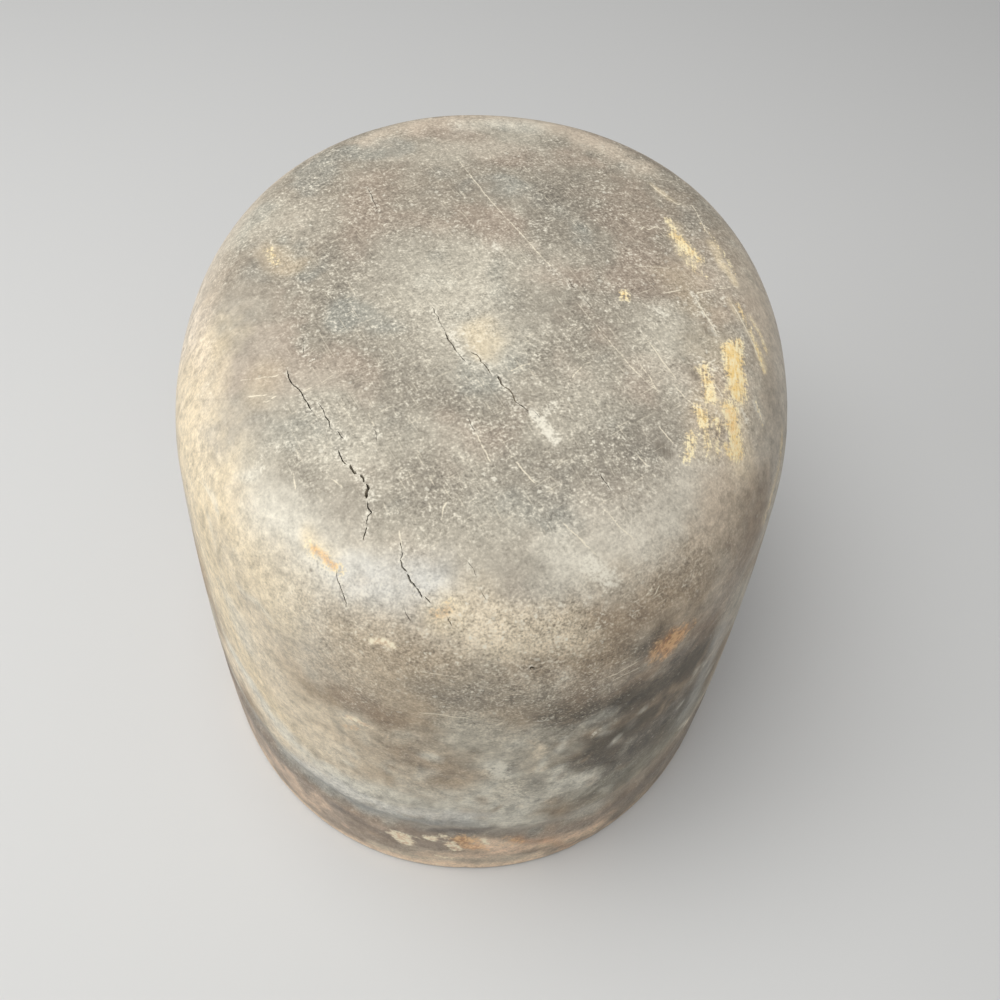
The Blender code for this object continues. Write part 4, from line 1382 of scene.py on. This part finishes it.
def endTree(graph, made, finish):
    made = graph.add("GeometryNodeRealizeInstances", {"Geometry": made})
    made = graph.add("GeometryNodeSetMaterial", {"Geometry": made, "Material": finish})
    graph.add("NodeGroupOutput", {0: made})


wallSizes = ("halfWidth", "halfLength", "exponent", "rearFullness", "lean", "belly", "height")


def ovalWallTree():      # Geometry Nodes: a wall round the oval between two heights
    tree, given, graph = namedTree("ovalWall", (*wallSizes, "bottom", "top"), ("columns", "rings"))
    sheet, turn, share = unitGrid(graph, given["columns"], given["rings"])
    turn = turn * math.tau
    level = given["bottom"] + share * (given["top"] - given["bottom"])
    rise = level / given["height"]
    inset = given["lean"] * rise - given["belly"] * 4 * rise * (1 - rise)

    def rounded(part):
        return part.math("SIGN") * part.math("ABSOLUTE") ** (2 / given["exponent"])

    across, along = rounded(turn.math("COSINE")), rounded(turn.math("SINE"))
    x = (given["halfWidth"] - inset) * across * (1 + given["rearFullness"] * along)
    y = (given["halfLength"] - inset) * along
    endTree(graph, shaped(graph, sheet, 0.01 * mm, x, y, level), given["finish"])
    return tree


def grown(tree, values, seedMesh=None):      # the mesh that a Geometry Nodes tree makes
    holder = placed(tree.name, seedMesh or bpy.data.meshes.new(tree.name))
    step = holder.modifiers.new(tree.name, "NODES")
    step.node_group = tree
    for item in tree.interface.items_tree:
        if item.in_out == "INPUT" and item.name in values:
            step[item.identifier] = values[item.name]
    evaluated = holder.evaluated_get(bpy.context.evaluated_depsgraph_get())
    mesh = bpy.data.meshes.new_from_object(evaluated)
    bpy.data.objects.remove(holder)
    return mesh


wallTree = ovalWallTree()


def wallSkin(bottom, top):
    values = {name: blockForm[name] for name in wallSizes}
    rings = int((top - bottom) / meshDetail["ring"])
    values.update(bottom=bottom, top=top, columns=meshDetail["columns"], rings=rings)
    bm = bmesh.new()
    bm.from_mesh(grown(wallTree, values))
    bmesh.ops.recalc_face_normals(bm, faces=bm.faces)
    bm.faces.ensure_lookup_table()
    face = bm.faces[0]
    if face.normal.dot(face.calc_center_median()) < 0:
        bmesh.ops.reverse_faces(bm, faces=bm.faces)
    return bm


def buildCrown():
    bm = crownSkin()
    refineAlong(bm, cracks, meshDetail["crackReaches"])
    refineAlong(bm, scratches, meshDetail["scratchReaches"])
    pressRelief(bm, [crownSeam])
    rim = rimAt(bm, crownSeam)
    fillAround(bm, rim, *dowelHoles(bm, upperDowels, crownSeam, True))
    return finished(bm, "crownBoard")


def buildMiddle():
    top = crownSeam - meshDetail["upperGap"]
    bm = wallSkin(middleSeam, top)
    refineAlong(bm, cracks, meshDetail["crackReaches"])
    refineAlong(bm, scratches, meshDetail["scratchReaches"])
    pressRelief(bm, [middleSeam, top])
    upperRim, lowerRim = rimAt(bm, top), rimAt(bm, middleSeam)
    upper = dowelHoles(bm, upperDowels, top, False)
    lower = dowelHoles(bm, lowerDowels, middleSeam, True)
    fillAround(bm, upperRim, *upper)
    fillAround(bm, lowerRim, *lower)
    return finished(bm, "middleBoard")


socket = {
    "plateTop": 4.3 * mm,
    "hubRadius": 18 * mm,
    "boreRadius": 12.9 * mm,
    "boreTop": 45 * mm,
    "sides": 64,
}


def buildBase():
    top = middleSeam - meshDetail["lowerGap"]
    foot = blockForm["footRadius"]
    bm = wallSkin(foot, top)
    refineAlong(bm, scratches, meshDetail["scratchReaches"])
    rings = []
    for turn in np.linspace(0, math.pi / 2, meshDetail["footSteps"] + 1)[1:]:      # the rounded lower edge
        height = foot * (1 - math.sin(turn))
        rings.append((*ovalPoints(angles, wallInset(height) + foot * (1 - math.cos(turn))), height))
    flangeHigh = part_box("socket_flange")[1]
    plate = flangeHigh.x + clearance
    plateX, plateY = plate * np.cos(angles), plate * np.sin(angles)
    edgeX, edgeY = ovalPoints(angles, wallInset(0) + foot)
    for share in np.linspace(0, 1, meshDetail["underRings"])[1:]:
        rings.append((edgeX + (plateX - edgeX) * share, edgeY + (plateY - edgeY) * share, 0))
    rim = addRings(bm, rimAt(bm, foot), rings)
    pressRelief(bm, [top])
    plateTop, hubTop = socket["plateTop"] + clearance, flangeHigh.z + clearance
    rim = addRings(bm, rim, [(plateX, plateY, plateTop)])
    hub, bore = socket["hubRadius"] + clearance, socket["boreRadius"]
    steps = [(hub, plateTop), (hub, hubTop), (bore, hubTop), (bore, socket["boreTop"])]
    fillAround(bm, rim, boredHole(bm, 0, 0, steps, socket["sides"]))
    rim = rimAt(bm, top)
    fillAround(bm, rim, *dowelHoles(bm, lowerDowels, top, False))
    return finished(bm, "baseBoard")


crownBoard = buildCrown()
print("crown board:", len(crownBoard.data.polygons), "faces")
middleBoard = buildMiddle()
print("middle board:", len(middleBoard.data.polygons), "faces")
baseBoard = buildBase()
print("base board:", len(baseBoard.data.polygons), "faces")
boards = {"crown_board": crownBoard, "middle_board": middleBoard, "base_board": baseBoard}


metalLook = {
    "iron": ink(92, 84, 77),
    "ironPale": ink(140, 130, 118),
    "rust": ink(136, 84, 52),
    "dust": ink(150, 138, 120),
    "steel": ink(150, 143, 134),
    "tarnish": ink(84, 74, 64),
    "rubbedBand": 3.5,      # mm round the bore, where the spindle has rubbed the iron
}


def rusted(finish, base, pale, amount):      # blotches of rust and dust over a metal
    pits, blots = finish.noise(0.7, shift=0.4, detail=3), finish.noise(4, shift=0.2, detail=4, bend=0.5)
    colour = finish.mix((pits - 0.5) * 0.8 + 0.3, base, pale)
    rust = (blots + (pits - 0.5) * 0.5).above(0.5, 0.66) * amount
    colour = finish.mix(rust, colour, metalLook["rust"])
    dust = (blots * 0.5 + pits * 0.5).above(0.44, 0.3)
    return finish.mix(dust * 0.45, colour, metalLook["dust"]), rust, dust, pits


def makeIron(name):      # cast, browned, a little rusty, rubbed at the mouth of the bore
    iron = Finish(name)
    colour, rust, dust, pits = rusted(iron, metalLook["iron"], metalLook["ironPale"], 0.75)
    place = iron.add("ShaderNodeSeparateXYZ", {0: iron.place}).socket.node
    x, y = (Wire(iron, place.outputs[k]) for k in (0, 1))
    radius = (x * x + y * y).math("SQRT") / mm
    inner = socket["boreRadius"] / mm
    rubbed = (radius + (pits - 0.5) * 3).above(inner + metalLook["rubbedBand"], inner) * (1 - rust * 0.6)
    colour = iron.mix(rubbed * 0.7, colour, metalLook["steel"])
    iron.set(Base_Color=colour, Metallic=(0.85 - rust * 0.8 - dust * 0.5).clamped())
    iron.set(Roughness=(0.52 + rust * 0.35 + dust * 0.2 - rubbed * 0.15 + (pits - 0.5) * 0.3).clamped())
    iron.bump(pits * 0.7 + rust * 0.6, 0.16)
    return iron.material


def makeSteel(name):      # a turned screw head, dulled
    steel = Finish(name)
    colour, rust, dust, pits = rusted(steel, metalLook["steel"], metalLook["tarnish"], 0.5)
    steel.set(Base_Color=colour, Metallic=(0.95 - rust * 0.7 - dust * 0.4).clamped())
    steel.set(Roughness=(0.4 + rust * 0.4 + dust * 0.2 + (pits - 0.5) * 0.3).clamped())
    steel.bump(pits * 0.5 + rust * 0.5, 0.06)
    return steel.material


dowelLook = {"pale": ink(214, 184, 138), "dark": ink(164, 126, 84)}


def makeDowelWood(name):      # turned hardwood, its grain upright
    rod = Finish(name)
    grain = rod.noise(1.2, (1, 1, 24), shift=0.3, detail=3)
    pores = rod.noise(0.35, (1, 1, 9), shift=0.6, detail=1)
    colour = rod.mix(grain.above(0.36, 0.62), dowelLook["pale"], dowelLook["dark"])
    colour = rod.mix(pores.above(0.42, 0.32) * 0.5, colour, dowelLook["dark"])
    rod.set(Base_Color=colour, Roughness=(0.55 + (grain - 0.5) * 0.3).clamped())
    rod.bump(grain * 0.5 + pores * 0.5, 0.06)
    return rod.material


# The screws of the flange

screwForm = {
    "headRadius": 4.7 * mm,
    "headLand": 0.35 * mm,
    "headEdge": 0.18 * mm,        # its small chamfer
    "shankRadius": 2.3 * mm,
    "length": 24.8 * mm,
    "pointLength": 7 * mm,
    "threadPitch": 1.8 * mm,
    "threadDepth": 0.55 * mm,
    "threadFrom": 9 * mm,
    "slotWidth": 1.3 * mm,
    "slotDepth": 1.15 * mm,
}
screwDetail = {"sides": 40, "rows": 150}
screwTurns = {"flange_screw_1": 22, "flange_screw_2": 68, "flange_screw_3": 151, "flange_screw_4": 110}


def screwTree():      # Geometry Nodes: a slotted wood screw, head down, at every point it is given
    tree, given, graph = namedTree("slottedScrews", screwForm, ("sides", "rows"), takesMesh=True)
    sheet, turn, row = unitGrid(graph, given["sides"], given["rows"])
    row = row * given["rows"]      # the first and the last row close the ends
    height = (row - 1).math("MAXIMUM", 0) * given["length"] / (given["rows"] - 1)
    head, shank = given["headRadius"], given["shankRadius"]
    radius = shank + (given["headLand"] + head - shank - height).math("MAXIMUM", 0)
    radius = radius.math("MINIMUM", head).math("MINIMUM", head - given["headEdge"] + height)
    phase = (height / given["threadPitch"] - turn).math("FRACT")
    groove = 1 - (phase * 2 - 1).math("ABSOLUTE")
    threaded = height.above(given["threadFrom"], given["threadFrom"] + given["threadPitch"])
    radius = radius - given["threadDepth"] * groove * threaded
    radius = radius.math("MINIMUM", (given["length"] - height) * shank / given["pointLength"])
    radius = radius.math("MAXIMUM", 0) * row.math("GREATER_THAN", 0.5)
    turn = turn * math.tau
    screw = shaped(graph, sheet, 0.004 * mm, radius * turn.math("COSINE"), radius * turn.math("SINE"), height)
    size = graph.add("ShaderNodeCombineXYZ", {0: head * 3, 1: given["slotWidth"], 2: given["slotDepth"] * 2})
    cutter = graph.add("GeometryNodeMeshCube", {"Size": size})
    screw = graph.add("GeometryNodeMeshBoolean", {"Mesh 1": screw, "Mesh 2": cutter}, operation="DIFFERENCE")
    slotTurn = graph.add("GeometryNodeInputNamedAttribute", {"Name": "slotTurn"}, data_type="FLOAT")
    spin = graph.add("ShaderNodeCombineXYZ", {2: slotTurn})
    copies = {"Points": given["Mesh"], "Instance": screw, "Rotation": spin}
    endTree(graph, graph.add("GeometryNodeInstanceOnPoints", copies), given["finish"])
    return tree


def buildScrews(finish):
    seeds = bpy.data.meshes.new("screwPlaces")
    places = []
    for name in screwTurns:
        low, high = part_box(name)
        places.append(((low.x + high.x) / 2, (low.y + high.y) / 2, low.z))
    seeds.from_pydata(places, [], [])
    layer = seeds.attributes.new("slotTurn", "FLOAT", "POINT")
    layer.data.foreach_set("value", [math.radians(turn) for turn in screwTurns.values()])
    values = {**screwForm, **screwDetail, "finish": finish}
    bm = bmesh.new()
    bm.from_mesh(grown(screwTree(), values, seeds))
    return finished(bm, "flangeScrews")


wood = makeWood("blockWood")
for node, piece in boards.items():
    paintSkin(piece)
    piece.data.materials.clear()
    piece.data.materials.append(wood)
    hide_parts(node)
    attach(piece, "root")
steel = makeSteel("screwSteel")
screws = buildScrews(steel)
screws.data.materials.clear()
screws.data.materials.append(steel)
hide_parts(*screwTurns)
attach(screws, "root")
print("screws:", len(screws.data.polygons), "faces")
iron, dowelWood = makeIron("socketIron"), makeDowelWood("dowelWood")
for node in ("socket_flange", *upperDowels, *lowerDowels):
    part = bpy.data.objects[node]
    for slot in part.material_slots:
        slot.material = iron if node == "socket_flange" else dowelWood


# Floor and light

studio = {
    "floorColour": ink(214, 214, 212),
    "floorReach": 4,
    "worldColour": ink(230, 230, 232),
    "worldStrength": 0.36,
    "lamps": {      # place, size and power
        "overhead": ((-0.25, -0.10, 0.95), 0.8, 6.2),
        "left": ((-0.85, -0.15, 0.40), 0.6, 2.2),
        "front": ((0.10, -0.65, 0.70), 0.6, 0.8),
    },
}


def makeFloor():
    bm = bmesh.new()
    bmesh.ops.create_grid(bm, x_segments=1, y_segments=1, size=studio["floorReach"])
    floor = placed("floor", meshFrom(bm, "floor"))
    paper = Finish("floorPaper")
    paper.set(Base_Color=studio["floorColour"], Roughness=0.9)
    floor.data.materials.append(paper.material)


def makeLamp(name, place, size, power):
    data = bpy.data.lights.new(name, "AREA")
    data.shape, data.size, data.energy = "DISK", size, power
    aim = (middle - Vector(place)).to_track_quat("-Z", "Y")
    placed(name, data).matrix_world = Matrix.Translation(place) @ aim.to_matrix().to_4x4()


def makeWorld():
    world = bpy.data.worlds.new("studio")
    world.use_nodes = True
    sky = world.node_tree.nodes["Background"]
    sky.inputs["Color"].default_value = studio["worldColour"]
    sky.inputs["Strength"].default_value = studio["worldStrength"]
    bpy.context.scene.world = world


makeFloor()
for lampName, settings in studio["lamps"].items():
    makeLamp(lampName, *settings)
makeWorld()
bpy.context.scene.view_settings.view_transform = "Standard"
print("studio ready")
